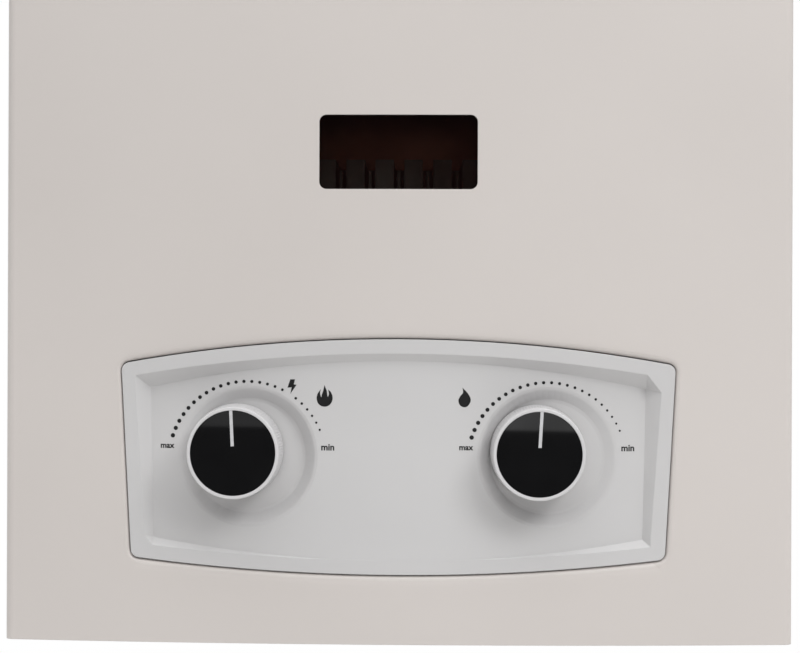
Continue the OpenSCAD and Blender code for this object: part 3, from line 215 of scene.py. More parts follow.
# %% Moulded white ABS
def moulded_abs(name, dark, light, edge_r):
    material, tree, surface, place = new_material(name, Roughness=0.3, Specular_IOR_Level=0.5, IOR=1.53)
    tint(tree, surface, mottle(tree, place, size_mm=70, detail=2.0), dark, light)
    edge = add(tree, "ShaderNodeBevel", {"Radius": mm(edge_r)}, samples=BEVEL_SAMPLES).outputs[0]
    flow = mottle(tree, place, size_mm=0.6, detail=1.0)
    skin = relief(tree, flow, depth_mm=0.004, strength=0.4, under=edge)
    tree.links.new(skin, surface.inputs["Normal"])
    return material


finishes["white_plastic"] = moulded_abs("satin_white_abs", "#CFCECF", "#D3D2D3", 0.5)
bezel_abs = moulded_abs("satin_white_bezel_abs", "#C7C6C6", "#CBCACA", 0.6)
print("mouldings:", finishes["white_plastic"].name, "and", bezel_abs.name)

# %% [markdown]
# The knob faces are gloss black discs. Nearly all that the eye gets from them is reflection, so the
# colour is close to black and the roughness low. Their pointers are a line of white paint, and the dials
# are printed with a dull black ink.

# %% Black disc, white line and printing ink
def flat_coat(name, dark, light, roughness, ior, patch_mm, detail):
    material, tree, surface, place = new_material(name, Roughness=roughness, IOR=ior)
    tint(tree, surface, mottle(tree, place, patch_mm, detail), dark, light)
    return material


finishes["black_disc"] = flat_coat("gloss_black_acrylic", "#0F0F10", "#121213", 0.02, 1.49, 12, 2.0)
finishes["pointer_white"] = flat_coat("white_line_paint", "#C2C2C4", "#CDCDCF", 0.35, 1.45, 3, 1.0)
ink = flat_coat("pad_printed_ink", "#0B0B0C", "#111012", 0.5, 1.45, 2, 1.0)
print("coats:", finishes["black_disc"].name, finishes["pointer_white"].name, ink.name)

# %% [markdown]
# Metals differ in how they were made. Drawn copper is smooth with darker heat marks, turned brass is
# clean, die-cast aluminium is grainy, and burner steel is dull and tinted by heat. One function makes
# them all: the darker patches of a metal are also its duller ones.

# %% Metals
METALS = {
    # slot: name, dark and light shade, roughness, then in mm: patches, grain and depth of the grain
    "steel_screw": ("zinc_plated_steel", "#A9ABAE", "#C2C4C6", 0.22, 3, 0.3, 0.003),
    "die_cast": ("die_cast_aluminium", "#A4A5A7", "#B9BABC", 0.42, 14, 0.5, 0.02),
    "brass_part": ("turned_brass", "#B5925A", "#CDAE72", 0.26, 18, 0.35, 0.004),
    "copper_part": ("drawn_copper", "#A8674A", "#C8866A", 0.28, 45, 1.0, 0.006),
    "burner_steel": ("heat_tinted_steel", "#6E6A62", "#918C82", 0.45, 22, 0.8, 0.01),
    "cell_jacket": ("printed_cell_foil", "#6F7277", "#878A8F", 0.3, 30, 1.0, 0.003),
}
DULLER = 0.1


def metal(name, dark, light, roughness, patch_mm, grain_mm, grain_depth_mm):
    material, tree, surface, place = new_material(name, Metallic=1.0)
    patches = mottle(tree, place, patch_mm, detail=4.0)
    tint(tree, surface, patches, dark, light)
    rough = add(tree, "ShaderNodeMapRange", {"Value": patches, "To Min": roughness + DULLER,
                                             "To Max": roughness})
    tree.links.new(rough.outputs[0], surface.inputs["Roughness"])
    grain = relief(tree, mottle(tree, place, grain_mm, detail=3.0), grain_depth_mm, strength=0.6)
    tree.links.new(grain, surface.inputs["Normal"])
    return material


for slot, look in METALS.items():
    finishes[slot] = metal(*look)
print("metals:", len(METALS))

# %% [markdown]
# Hot-dip galvanised sheet is covered with zinc spangle, flat crystals of some millimetres that each
# mirror the light a little differently. A Voronoi texture cuts the surface into such cells, and each
# cell's own random colour sets its shade and its roughness.

# %% Galvanised sheet
SPANGLE_W = 7.0
SHINY, DULL = 0.32, 0.5


def zinc_spangle():
    material, tree, surface, place = new_material("hot_dip_galvanised_steel", Metallic=1.0)
    spangle = add(tree, "ShaderNodeTexVoronoi", {"Vector": place, "Scale": per_metre(SPANGLE_W),
                                                 "Randomness": 1.0})
    shade = add(tree, "ShaderNodeSeparateColor", {0: spangle.outputs["Color"]}).outputs[0]
    tint(tree, surface, shade, "#9A9D9F", "#B4B6B7")
    rough = add(tree, "ShaderNodeMapRange", {"Value": shade, "To Min": SHINY, "To Max": DULL})
    tree.links.new(rough.outputs[0], surface.inputs["Roughness"])
    grain = relief(tree, mottle(tree, place, size_mm=0.8, detail=2.0), depth_mm=0.006, strength=0.5)
    tree.links.new(grain, surface.inputs["Normal"])
    return material


finishes["galvanised_sheet"] = zinc_spangle()
print("spangle:", SPANGLE_W, "mm")

# %% [markdown]
# The sight glass is heat-proof glass. It mirrors like any glass and lets part of the light through, so
# that the burner's front shows faintly behind it. A near-black film with a reddish cast covers a third to
# two fifths of the pane, so it goes into Alpha. The film is partly the glass's own dark tint and partly
# painted shade: it stands for the dim chamber behind the window.

# %% Sight glass
# How much of the pane the dark film covers; the film is partly the glass's tint, partly painted shade of
# the chamber behind
TINT_AND_SHADE_THIN, TINT_AND_SHADE_THICK = 0.3, 0.42


def sight_glass_pane():
    material, tree, surface, place = new_material("dark_heat_glass", Roughness=0.03, IOR=1.5)
    tint_and_shade = mottle(tree, place, size_mm=30, detail=2.0)
    # Near black with a reddish cast: partly the glass's tint, partly painted shade of the dim chamber
    # behind the window
    tint(tree, surface, tint_and_shade, "#120504", "#160706")
    film = add(tree, "ShaderNodeMapRange", {"Value": tint_and_shade, "To Min": TINT_AND_SHADE_THIN, "To Max": TINT_AND_SHADE_THICK})
    tree.links.new(film.outputs[0], surface.inputs["Alpha"])
    return material


finishes["sight_pane"] = sight_glass_pane()
print("soot film:", TINT_AND_SHADE_THIN, "to", TINT_AND_SHADE_THICK)

# %% [markdown]
# Two finishes remain. The cases and the battery box are black polyamide from an eroded mould, which
# gives a fine dull grain. The electrodes' insulators are glazed steatite, smooth and cream white.

# %% Black plastic and glazed ceramic
def grained(name, dark, light, roughness, patch_mm, grain_mm, grain_depth_mm):
    material, tree, surface, place = new_material(name, Roughness=roughness, IOR=1.5)
    tint(tree, surface, mottle(tree, place, patch_mm, detail=3.0), dark, light)
    grain = relief(tree, mottle(tree, place, grain_mm, detail=2.0), grain_depth_mm, strength=0.5)
    tree.links.new(grain, surface.inputs["Normal"])
    return material


finishes["black_plastic"] = grained("textured_black_pa", "#18181A", "#202022", 0.5, 30, 0.5, 0.012)
finishes["ceramic_white"] = grained("glazed_steatite", "#D8D2C6", "#E2DDD3", 0.25, 8, 1.0, 0.004)
print("finishes:", ", ".join(m.name for m in finishes.values()))

# %% [markdown]
# Every CAD node keeps its shape and takes the finish of its slot in the record. Its mesh isn't touched;
# only the material slots change. The bezel alone gets its own shade of the white plastic.

# %% Dress the CAD nodes
slot_of = {part["node"]: part["material_slot"] for part in frame["record"]["subparts"]}


def dress(node, material):
    mesh = nodes[node].data
    if not mesh.materials:
        mesh.materials.append(material)
    for index in range(len(mesh.materials)):
        nodes[node].material_slots[index].material = material


for node in nodes:
    dress(node, finishes[slot_of[node]])
dress("control_bezel", bezel_abs)
print("dressed", len(nodes), "nodes")

# %% [markdown]
# The dial printing lies on the bowed recess floor. A tree of the bezel's faces finds the floor under each
# point: a ray runs from the front towards the wall, and the ink sits a few hundredths above the hit.

# %% Places on the recess floor
bezel = nodes["control_bezel"]
bezel_tree = BVHTree.FromPolygons([v.co for v in bezel.data.vertices],
                                  [p.vertices for p in bezel.data.polygons])
front_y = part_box("front_cover")[0][1] / MM
RAY_START_Y = front_y - 20
INK_LIFT = 0.04
TO_WALL = (0, 1, 0)


def on_floor(x, z):
    """The point of the recess floor at x and z, in mm, lifted by the ink's thickness."""
    hit = bezel_tree.ray_cast(Vector(mm(x, RAY_START_Y, z)), Vector(TO_WALL))[0]
    return Vector((mm(x), hit.y - mm(INK_LIFT), mm(z)))


print("recess floor between the dials: y =", round(on_floor(0, 80).y / MM, 2), "mm")

# %% [markdown]
# Each sign is a closed outline, filled with flat ink. Its points are dropped onto the floor one by one,
# so the ink follows the bow, and the face is split into triangles, which any bow can carry.

# %% Ink in the shape of an outline
def in_scene(name, data):
    """A new object in the scene that shows this mesh, lamp or camera."""
    made = bpy.data.objects.new(name, data)
    bpy.context.scene.collection.objects.link(made)
    return made


def print_mark(name, outline):
    """Flat ink in the shape of a closed outline, a list of (x, z) in mm, laid on the floor."""
    work = bmesh.new()
    face = work.faces.new([work.verts.new(on_floor(x, z)) for x, z in outline])
    face.normal_update()
    if face.normal.y > 0:
        face.normal_flip()
    bmesh.ops.triangulate(work, faces=work.faces)
    mesh = bpy.data.meshes.new(name)
    work.to_mesh(mesh)
    work.free()
    mesh.materials.append(ink)
    mark = in_scene(name, mesh)
    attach(mark, "casing")
    print(name, "faces:", len(mesh.polygons))


# %% [markdown]
# A bolt marks where the spark is struck, a flame stands over the gas dial and a drop over the water dial.
# The bolt has straight sides. Flame and drop are closed curves through a few points, smoothed by a
# spline, and a point given twice stays a sharp tip. The flame is one curve with two notches, so that its
# three tongues grow out of one body.

# %% Signs
CURVE_STEPS = 6
BOLT = [(-0.7, 3.05), (1.3, 3.05), (0.75, 0.95), (1.95, 0.8), (-0.7, -3.1), (-0.1, -0.3), (-1.9, -0.45)]
DROP = [(-0.95, 4.05), (-0.95, 4.05), (0.75, 2.35), (2.2, 0.2), (2.45, -1.6), (1.25, -3.6),
        (-0.4, -4.05), (-2.0, -3.2), (-2.65, -1.3), (-1.9, 0.5), (-0.85, 1.75), (-0.75, 2.9)]
FLAME = [(-0.1, 4.55), (-0.1, 4.55), (0.4, 3.2), (0.85, 2.2), (1.0, 1.0), (1.3, -0.4), (1.75, 0.9),
         (1.45, 2.7), (1.45, 2.7), (2.5, 1.7), (3.2, 0.2), (3.3, -1.5), (2.6, -3.2), (1.2, -4.3),
         (-0.1, -4.5), (-1.5, -4.2), (-2.8, -3.1), (-3.35, -1.4), (-3.15, 0.4), (-2.4, 1.8),
         (-1.6, 2.8), (-1.6, 2.8), (-1.95, 1.3), (-1.75, 0.2), (-1.45, -0.6), (-1.15, 0.6),
         (-0.75, 1.8), (-0.45, 3.0)]


def smooth(points):
    """A closed Catmull-Rom curve through points."""
    count = len(points)
    curve = []
    for i in range(count):
        before, start, end, after = (points[(i + k) % count] for k in (-1, 0, 1, 2))
        if start == end:
            curve.append(start)
            continue
        for step in range(CURVE_STEPS):
            t = step / CURVE_STEPS
            curve.append(tuple(
                0.5 * (2 * b + (c - a) * t + (2 * a - 5 * b + 4 * c - d) * t * t
                       + (3 * b - a - 3 * c + d) * t ** 3)
                for a, b, c, d in zip(before, start, end, after)))
    return [p for i, p in enumerate(curve) if p != curve[i - 1]]


def placed(points, x, z):
    return [(x + px, z + pz) for px, pz in points]


# name: outline and the place of its middle, x and z in mm
SIGNS = {"sign_bolt": (BOLT, -44.4, 107.6), "sign_flame": (smooth(FLAME), -30.6, 103.8),
         "sign_drop": (smooth(DROP), 28.1, 103.4)}
for name, (outline, x, z) in SIGNS.items():
    print_mark(name, placed(outline, x, z))

# %% [markdown]
# The ends of both dials carry a plain word. Blender's own font gives its outline, an offset makes it
# bold, and the filled text becomes a mesh whose points are scaled to a real width and laid on the floor.

# %% Words at the ends of the dials
RING_R, RING_Z = 33.3, 76.4
RING_X = {"gas": -63.2, "water": 62.7}
BOLD = 0.03
LETTER_STEPS = 3
# word: its middle from the dial's centre, sideways and upwards, and its width
END_WORDS = {"max": (-33.9, 5.8, 5.9), "min": (34.0, 5.9, 5.5)}


def print_word(name, word, x, z, width):
    """A word of a width in mm, with its middle at x and z, laid on the floor."""
    curve = bpy.data.curves.new(name + "_text", "FONT")
    curve.body = word
    curve.offset = BOLD
    curve.resolution_u = LETTER_STEPS
    holder = bpy.data.objects.new(name + "_text", curve)
    mesh = bpy.data.meshes.new_from_object(holder)
    bpy.data.objects.remove(holder)
    xs = [v.co.x for v in mesh.vertices]
    ys = [v.co.y for v in mesh.vertices]
    scale = width / (max(xs) - min(xs))
    middle_x, middle_y = (min(xs) + max(xs)) / 2, (min(ys) + max(ys)) / 2
    for vertex in mesh.vertices:
        vertex.co = on_floor(x + (vertex.co.x - middle_x) * scale, z + (vertex.co.y - middle_y) * scale)
    mesh.materials.append(ink)
    mark = in_scene(name, mesh)
    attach(mark, "casing")
    print(name, "faces:", len(mesh.polygons))


for label, x in RING_X.items():
    for word, (side, up, width) in END_WORDS.items():
        print_word(label + "_" + word, word, x + side, RING_Z + up, width)

# %% [markdown]
# Rows of equal things are work for Geometry Nodes. One function starts a tree with named inputs, and a
# second runs it once: it sets the inputs by their identifiers, evaluates the modifier, and keeps the
# result as a plain mesh, so that nothing live is left on the piece.

# %% Geometry Nodes: starting and running a tree
def node_group(name, inputs):
    """An empty geometry group with named inputs, given as (name, socket kind, value)."""
    tree = bpy.data.node_groups.new(name, "GeometryNodeTree")
    tree.interface.new_socket("Geometry", in_out="OUTPUT", socket_type="NodeSocketGeometry")
    tree.interface.new_socket("Geometry", in_out="INPUT", socket_type="NodeSocketGeometry")
    for label, kind, value in inputs:
        socket = tree.interface.new_socket(label, in_out="INPUT", socket_type=kind)
        if value is not None:
            socket.default_value = value
    return tree, add(tree, "NodeGroupInput").outputs, add(tree, "NodeGroupOutput").inputs


def generate(name, tree, values, body):
    """Runs a geometry group once on an empty mesh and keeps what it made as a piece."""
    holder = in_scene(name + "_maker", bpy.data.meshes.new(name + "_seed"))
    modifier = holder.modifiers.new("maker", "NODES")
    modifier.node_group = tree
    for item in tree.interface.items_tree:
        if item.item_type == "SOCKET" and item.in_out == "INPUT" and item.name in values:
            modifier[item.identifier] = values[item.name]
    made = holder.evaluated_get(bpy.context.evaluated_depsgraph_get())
    mesh = bpy.data.meshes.new_from_object(made)
    bpy.data.objects.remove(holder)
    piece = in_scene(name, mesh)
    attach(piece, body)
    print(name, "faces:", len(mesh.polygons))


# %% [markdown]
# The dots of a dial follow a rule: the same step from one to the next, each a little smaller than the
# last. Points stand on an arc in front of the bezel, a ray to the bezel sets their depth, and a small
# disc is placed on each with its own scale. On the gas dial one place is left free for the bolt.

# %% Geometry Nodes: a dotted dial
FREE_PLACE = {"gas": 18, "water": -1}  # -1 leaves no place free
DOT_SIDES = 14
dots, given, result = node_group("dial_dots", [
    ("Centre", "NodeSocketVector", None), ("Radius", "NodeSocketFloat", mm(RING_R)),
    ("Count", "NodeSocketInt", 25), ("Start", "NodeSocketFloat", -72.0),
    ("Step", "NodeSocketFloat", 5.78), ("First", "NodeSocketFloat", mm(1.9)),
    ("Last", "NodeSocketFloat", mm(0.9)),
    ("Free place", "NodeSocketInt", -1), ("Lift", "NodeSocketFloat", mm(INK_LIFT)),
    ("Ground", "NodeSocketObject", None), ("Ink", "NodeSocketMaterial", None)])
print("nodes in the new tree:", len(dots.nodes))

# %% Dots: places on the arc, where their rays start
points = add(dots, "GeometryNodePoints", {"Count": given["Count"]}).outputs[0]
index = add(dots, "GeometryNodeInputIndex").outputs[0]
degrees = add(dots, "ShaderNodeMath", {0: index, 1: given["Step"], 2: given["Start"]},
              operation="MULTIPLY_ADD").outputs[0]
angle = add(dots, "ShaderNodeMath", {0: degrees}, operation="RADIANS").outputs[0]
sine = add(dots, "ShaderNodeMath", {0: angle}, operation="SINE").outputs[0]
cosine = add(dots, "ShaderNodeMath", {0: angle}, operation="COSINE").outputs[0]
on_ring = add(dots, "ShaderNodeCombineXYZ", {"X": sine, "Z": cosine}).outputs[0]
out_to_ring = add(dots, "ShaderNodeVectorMath", {0: on_ring, "Scale": given["Radius"]},
                  operation="SCALE").outputs[0]
start = add(dots, "ShaderNodeVectorMath", {0: given["Centre"], 1: out_to_ring}, operation="ADD").outputs[0]
print("nodes up to the arc:", len(dots.nodes))

# %% Dots: on the floor, lifted by the ink's thickness
ground = add(dots, "GeometryNodeObjectInfo", {"Object": given["Ground"]}).outputs["Geometry"]
ray = add(dots, "GeometryNodeRaycast", {"Target Geometry": ground, "Source Position": start,
                                        "Ray Direction": TO_WALL})
lift = add(dots, "ShaderNodeVectorMath", {0: TO_WALL, "Scale": given["Lift"]},
           operation="SCALE").outputs[0]
place = add(dots, "ShaderNodeVectorMath", {0: ray.outputs["Hit Position"], 1: lift},
            operation="SUBTRACT").outputs[0]
laid = add(dots, "GeometryNodeSetPosition", {"Geometry": points, "Position": place}).outputs[0]
free = add(dots, "FunctionNodeCompare", {2: index, 3: given["Free place"]}, data_type="INT",
           operation="EQUAL").outputs[0]
kept = add(dots, "GeometryNodeDeleteGeometry", {"Geometry": laid, "Selection": free}).outputs[0]
print("nodes up to the floor:", len(dots.nodes))

# %% Dots: discs turned to the floor, each a little smaller than the one before
disc = add(dots, "GeometryNodeMeshCircle", {"Vertices": DOT_SIDES, "Radius": 0.5},
           fill_type="NGON").outputs[0]
last = add(dots, "ShaderNodeMath", {0: given["Count"], 1: 1.0}, operation="SUBTRACT").outputs[0]
share = add(dots, "ShaderNodeMath", {0: index, 1: last}, operation="DIVIDE").outputs[0]
size = add(dots, "ShaderNodeMapRange", {"Value": share, "To Min": given["First"],
                                        "To Max": given["Last"]}).outputs[0]
turned = add(dots, "FunctionNodeAlignRotationToVector", {"Vector": ray.outputs["Hit Normal"]},
             axis="Z").outputs[0]
spread = add(dots, "GeometryNodeInstanceOnPoints", {"Points": kept, "Instance": disc, "Rotation": turned,
                                                    "Scale": size}).outputs[0]
real = add(dots, "GeometryNodeRealizeInstances", {"Geometry": spread}).outputs[0]
inked = add(dots, "GeometryNodeSetMaterial", {"Geometry": real, "Material": given["Ink"]}).outputs[0]
dots.links.new(inked, result[0])
print("nodes in all:", len(dots.nodes))

# %% Both dials
for label, free_place in FREE_PLACE.items():
    generate(label + "_dots", dots, {"Centre": mm(RING_X[label], RAY_START_Y, RING_Z),
                                     "Free place": free_place, "Ground": bezel, "Ink": ink},
             "casing")

# %% [markdown]
# The knob's flank is knurled: fine ridges along the flank, from its foot to the groove behind the smooth
# front band. The flank flares a little towards its foot, so one ridge is built from that same profile,
# in plain mesh code: a low roof whose ends run out flat.

# %% One ridge of the knurl
KNOB_FACE_R, KNOB_FOOT_R, KNOB_H, GROOVE_AT = 19.0, 19.5, 22.0, 0.76
RIDGE_H, RIDGE_W, RIDGE_STEPS = 0.3, 0.66, 8
RIDGE_SUNK = 0.05
RIDGE_FROM, RIDGE_TO = 0.06, GROOVE_AT - 0.04  # as shares of the knob's height


def flank_r(t):
    """Radius of the knob at a share of its height above the foot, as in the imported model."""
    return KNOB_FACE_R + (KNOB_FOOT_R - KNOB_FACE_R) * (1 - t) ** 1.5


def ridge_mesh():
    """One ridge in the knob's own frame: Z along the axis towards the face, X outwards."""
    work = bmesh.new()
    rows = []
    for i in range(RIDGE_STEPS + 1):
        t = RIDGE_FROM + (RIDGE_TO - RIDGE_FROM) * i / RIDGE_STEPS
        low = flank_r(t) - RIDGE_SUNK
        top = flank_r(t) + (RIDGE_H if 0 < i < RIDGE_STEPS else 0.0)
        rows.append([work.verts.new(mm(r, side, KNOB_H * t))
                     for r, side in ((low, -RIDGE_W / 2), (top, 0.0), (low, RIDGE_W / 2))])
    for near, far in zip(rows, rows[1:]):
        for k in (0, 1):
            work.faces.new((near[k], near[k + 1], far[k + 1], far[k]))
    mesh = bpy.data.meshes.new("one_ridge")
    work.to_mesh(mesh)
    work.free()
    return mesh


one_ridge = in_scene("one_ridge", ridge_mesh())
print("one ridge has", len(one_ridge.data.polygons), "faces")

# %% [markdown]
# Geometry Nodes repeat the ridge round the knob's axis. All its copies stand on points at the origin and
# differ only in their turn. The whole ring is then tipped forward, so that the knob's axis points to the
# front, and moved to the knob's place. Only at the end are the copies made real.

# %% Geometry Nodes: knurls round the knobs
KNURL_COUNT = 100
KNOB_Y, KNOB_Z = -158.05, 80.8
KNOB_X = {"gas": -67.6, "water": 58.4}
TO_FRONT = (math.pi / 2, 0, 0)
knurl, given, result = node_group("knurl_ring", [
    ("Count", "NodeSocketInt", KNURL_COUNT), ("Centre", "NodeSocketVector", None),
    ("Ridge", "NodeSocketObject", None), ("Plastic", "NodeSocketMaterial", None)])
points = add(knurl, "GeometryNodePoints", {"Count": given["Count"]}).outputs[0]
index = add(knurl, "GeometryNodeInputIndex").outputs[0]
step = add(knurl, "ShaderNodeMath", {0: 2 * math.pi, 1: given["Count"]}, operation="DIVIDE").outputs[0]
turn = add(knurl, "ShaderNodeMath", {0: index, 1: step}, operation="MULTIPLY").outputs[0]
rotation = add(knurl, "ShaderNodeCombineXYZ", {"Z": turn}).outputs[0]
ridge = add(knurl, "GeometryNodeObjectInfo", {"Object": given["Ridge"]}).outputs["Geometry"]
ring = add(knurl, "GeometryNodeInstanceOnPoints", {"Points": points, "Instance": ridge,
                                                   "Rotation": rotation}).outputs[0]
stood = add(knurl, "GeometryNodeTransform", {"Geometry": ring, "Translation": given["Centre"],
                                             "Rotation": TO_FRONT}).outputs[0]
real = add(knurl, "GeometryNodeRealizeInstances", {"Geometry": stood}).outputs[0]
coated = add(knurl, "GeometryNodeSetMaterial", {"Geometry": real,
                                                "Material": given["Plastic"]}).outputs[0]
knurl.links.new(coated, result[0])

for label, x in KNOB_X.items():
    generate(label + "_knob_knurl", knurl, {"Centre": mm(x, KNOB_Y, KNOB_Z), "Ridge": one_ridge,
                                            "Plastic": finishes["white_plastic"]},
             label + "_control")
bpy.data.objects.remove(one_ridge)

# %% [markdown]
# The three connections carry a half-inch pipe thread. A thread is one ridge that climbs round the stub by
# its pitch each turn, so it is swept from a three-cornered section in plain mesh code. At both ends the
# ridge sinks into the stub over a quarter of a turn, as a cut thread runs out.

# %% Pipe threads
THREAD_R, THREAD_TOP_R, THREAD_PITCH = 10.15, 10.45, 1.814
THREAD_LOW, THREAD_HIGH = -9.6, 4.4
TURN_STEPS, RUN_OUT_STEPS = 36, 9
FLANK_SHARE = 0.42  # of the pitch, to each side of the ridge's top


def pipe_thread(name, x, y, slot):
    count = int((THREAD_HIGH - THREAD_LOW) / THREAD_PITCH * TURN_STEPS)
    half = THREAD_PITCH * FLANK_SHARE
    work = bmesh.new()
    rows = []
    for i in range(count + 1):
        a = 2 * math.pi * i / TURN_STEPS
        z = THREAD_LOW + THREAD_PITCH * i / TURN_STEPS
        rise = min(1.0, i / RUN_OUT_STEPS, (count - i) / RUN_OUT_STEPS)
        top = THREAD_R + (THREAD_TOP_R - THREAD_R) * rise
        rows.append([work.verts.new(mm(x + r * math.cos(a), y + r * math.sin(a), z + dz))
                     for r, dz in ((THREAD_R, -half), (top, 0.0), (THREAD_R, half))])
    for low, high in zip(rows, rows[1:]):
        for k in (0, 1):
            work.faces.new((low[k], high[k], high[k + 1], low[k + 1]))
    mesh = bpy.data.meshes.new(name)
    work.to_mesh(mesh)
    work.free()
    mesh.materials.append(finishes[slot])
    piece = in_scene(name, mesh)
    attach(piece, "casing")
    print(name, "faces:", len(mesh.polygons))


# name: axis at x and y in mm, and the slot of the stub it is cut on
THREADS = {"gas_thread": (-84, -86, "galvanised_sheet"), "cold_thread": (80, -86, "copper_part"),
           "hot_thread": (-136, -56, "copper_part")}
for name, (x, y, slot) in THREADS.items():
    pipe_thread(name, x, y, slot)

# %% [markdown]
# The heater hangs over a plain pale floor, well below it, which keeps its soft shadow. The floor is
# stage, not part of the object.

# %% Floor
FLOOR_Z, FLOOR_HALF = -0.45, 1.5
floor_mesh = bpy.data.meshes.new("studio_floor")
floor_mesh.from_pydata([(-FLOOR_HALF, -FLOOR_HALF, FLOOR_Z), (FLOOR_HALF, -FLOOR_HALF, FLOOR_Z),
                        (FLOOR_HALF, FLOOR_HALF, FLOOR_Z), (-FLOOR_HALF, FLOOR_HALF, FLOOR_Z)],
                       [], [(0, 1, 2, 3)])
floor = in_scene("studio_floor", floor_mesh)
floor_material, floor_tree, floor_surface, floor_place = new_material("pale_floor", Roughness=0.9)
tint(floor_tree, floor_surface, mottle(floor_tree, floor_place, size_mm=900, detail=2.0),
     "#EEEDEC", "#F2F1F0")
floor_mesh.materials.append(floor_material)
print("floor:", 2 * FLOOR_HALF, "m wide, at z =", FLOOR_Z, "m")

# %% [markdown]
# Two square lamps, both above the panel and aimed at its middle: the stronger one stands at the right, so
# the knobs throw soft shadows down to the left, and the other nearly straight above.

# %% Lamps
PANEL_MIDDLE = Vector(mm(0.0, -160, 130))
# name: place, side and power
LAMPS = {"key_lamp": ((0.85, -1.2, 1.1), 0.6, 9.4), "top_lamp": ((0.1, -0.8, 1.1), 0.7, 2.7)}
for name, (place, side, power) in LAMPS.items():
    light = bpy.data.lights.new(name, "AREA")
    light.shape = "RECTANGLE"
    light.size = light.size_y = side
    light.energy = power
    lamp = in_scene(name, light)
    lamp.location = place
    lamp.rotation_euler = (PANEL_MIDDLE - Vector(place)).to_track_quat("-Z", "Y").to_euler()
    print(name, power, "W")

# %% [markdown]
# The world gives each kind of ray its own view of the room. Diffuse surfaces are lit by a soft light that
# grows upwards, with a weak share from the left. A Texture Coordinate gives the direction in which a ray
# leaves, and two Math nodes turn its height and its side into a strength.

# %% World: soft light on the surfaces
FROM_ABOVE, FROM_LEFT, ALL_ROUND = 1.5, 0.25, 0.03
world = bpy.data.worlds.new("studio_world")
bpy.context.scene.world = world
world.use_nodes = True
sky = world.node_tree
direction = add(sky, "ShaderNodeTexCoord").outputs["Generated"]
facing = add(sky, "ShaderNodeSeparateXYZ", {0: direction}).outputs
upwards = add(sky, "ShaderNodeMath", {0: facing["Z"], 1: 0.0}, operation="MAXIMUM").outputs[0]
leftwards = add(sky, "ShaderNodeMath", {0: facing["X"], 1: 0.0}, operation="MINIMUM").outputs[0]
above = add(sky, "ShaderNodeMath", {0: upwards, 1: FROM_ABOVE, 2: ALL_ROUND},
            operation="MULTIPLY_ADD").outputs[0]
ambient = add(sky, "ShaderNodeMath", {0: leftwards, 1: -FROM_LEFT, 2: above},
              operation="MULTIPLY_ADD").outputs[0]
print("world:", FROM_ABOVE, "from above,", FROM_LEFT, "from the left,", ALL_ROUND, "all round")

# %% [markdown]
# Gloss and metal meet a pale room above, beside and behind the object. Only its front is dim, so that
# the black discs and the glass look black, apart from one pale band a little below eye level, like a
# bright sill across the room. The band has a sharp lower edge, fades upwards, is brighter towards the
# right and has a faint cloud. The discs mirror it as their lighter top.

# %% World: what gloss sees
DIM_FRONT, PALE_ROOM = 0.05, 0.85
BAND_FOOT, BAND_FOOT_END, BAND_TOP_START, BAND_TOP = -0.0571, -0.0565, 0.0, 0.04
# where the band's left and right end lie, and how bright they are
BAND_LEFT, BAND_RIGHT = (-0.06, 0.56), (0.03, 1.0)
BAND_LEAN = 0.01
FRONT_END, SIDE_START = -0.9, -0.5
CLOUD_SCALE, CLOUD_LOW, CLOUD_SPAN = 45.0, 0.7, 0.6  # the cloud runs from 0.7 to 1.3 of the band
band_side = add(sky, "ShaderNodeMapRange", {"Value": facing["X"], "From Min": BAND_LEFT[0],
                                            "From Max": BAND_RIGHT[0], "To Min": BAND_LEFT[1],
                                            "To Max": BAND_RIGHT[1]}).outputs[0]
cloud = add(sky, "ShaderNodeTexNoise", {"Vector": direction, "Scale": CLOUD_SCALE, "Detail": 1.0})
uneven = add(sky, "ShaderNodeMath", {0: cloud.outputs["Fac"], 1: CLOUD_SPAN, 2: CLOUD_LOW},
             operation="MULTIPLY_ADD").outputs[0]
band_light = add(sky, "ShaderNodeMath", {0: band_side, 1: uneven}, operation="MULTIPLY").outputs[0]
leaning = add(sky, "ShaderNodeMath", {0: facing["X"], 1: BAND_LEAN, 2: facing["Z"]},
              operation="MULTIPLY_ADD").outputs[0]
band_low = add(sky, "ShaderNodeMapRange", {"Value": leaning, "From Min": BAND_FOOT,
                                           "From Max": BAND_FOOT_END, "To Min": DIM_FRONT,
                                           "To Max": band_light}).outputs[0]
front = add(sky, "ShaderNodeMapRange", {"Value": facing["Z"], "From Min": BAND_TOP_START,
                                        "From Max": BAND_TOP, "To Min": band_low, "To Max": DIM_FRONT},
            interpolation_type="SMOOTHSTEP").outputs[0]
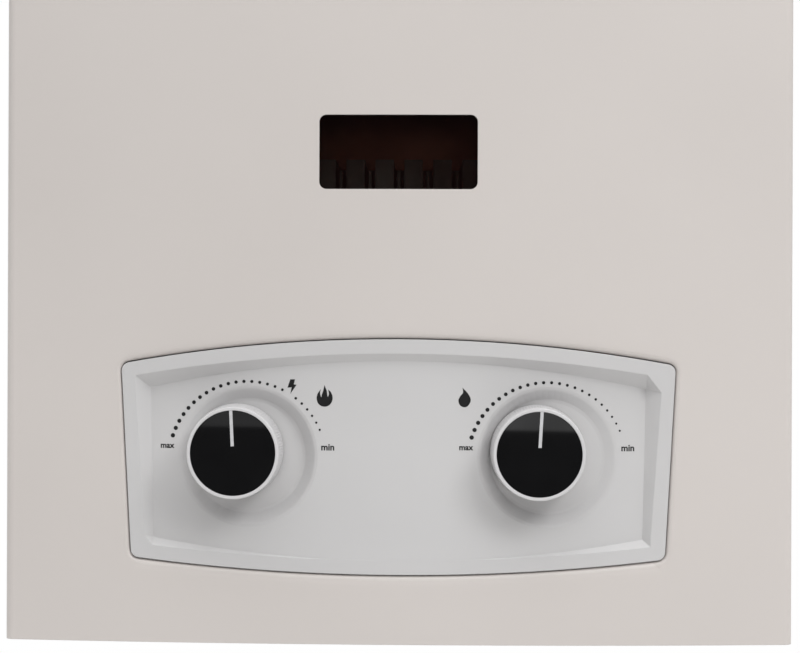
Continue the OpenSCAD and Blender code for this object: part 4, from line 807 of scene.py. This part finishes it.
aside = add(sky, "ShaderNodeMapRange", {"Value": facing["Y"], "From Min": FRONT_END,
                                        "From Max": SIDE_START}).outputs[0]
gloss_sees = add(sky, "ShaderNodeMix", {0: aside, 2: front, 3: PALE_ROOM}).outputs[0]
print("gloss sees", DIM_FRONT, "in front and", PALE_ROOM, "elsewhere")

# %% [markdown]
# The Light Path node tells the rays apart, and Mix nodes choose between the strengths. Camera rays, and
# rays through clear things, see a white backdrop at a strength of 1, which is white in the picture.

# %% World: one strength for each kind of ray
rays = add(sky, "ShaderNodeLightPath").outputs
seen = add(sky, "ShaderNodeMix", {0: rays["Is Glossy Ray"], 2: ambient, 3: gloss_sees}).outputs[0]
clear = add(sky, "ShaderNodeMath", {0: rays["Is Camera Ray"], 1: rays["Is Transmission Ray"]},
            operation="MAXIMUM").outputs[0]
strength = add(sky, "ShaderNodeMix", {0: clear, 2: seen, 3: 1.0}).outputs[0]
sky.links.new(strength, sky.nodes["Background"].inputs["Strength"])
sky.nodes["Background"].inputs["Color"].default_value = (1, 1, 1, 1)
print("world nodes:", len(sky.nodes))

# %% [markdown]
# The camera stands about 0.85 m in front of the panel, close to the middle of the picture and square to
# the wall within a degree and a half. Its place, turn and lens were worked out from the corners of the
# bezel and the window, the bow of the bottom edge and the sides of the knobs that it sees.

# %% Camera
CAMERA_PLACE = (0.008, -1.0027, 0.138)
YAW, ROLL = 1.378, 0.213
LEVEL = 90  # a camera that looks down is tipped up by this to look level
camera_data = bpy.data.cameras.new("photo_camera")
camera_data.sensor_width = 36
camera_data.lens = 90.25
camera_data.shift_x = 0.039
camera_data.shift_y = -0.015
camera_data.clip_start = 0.01
camera_data.clip_end = 50
camera = in_scene("photo_camera", camera_data)
camera.location = CAMERA_PLACE
camera.rotation_euler = (
    Matrix.Rotation(math.radians(YAW), 4, "Z") @ Matrix.Rotation(math.radians(LEVEL), 4, "X")
    @ Matrix.Rotation(math.radians(ROLL), 4, "Z")).to_euler()
scene = bpy.context.scene
scene.camera = camera
scene.view_settings.view_transform = "Standard"
print("lens:", camera_data.lens, "mm")
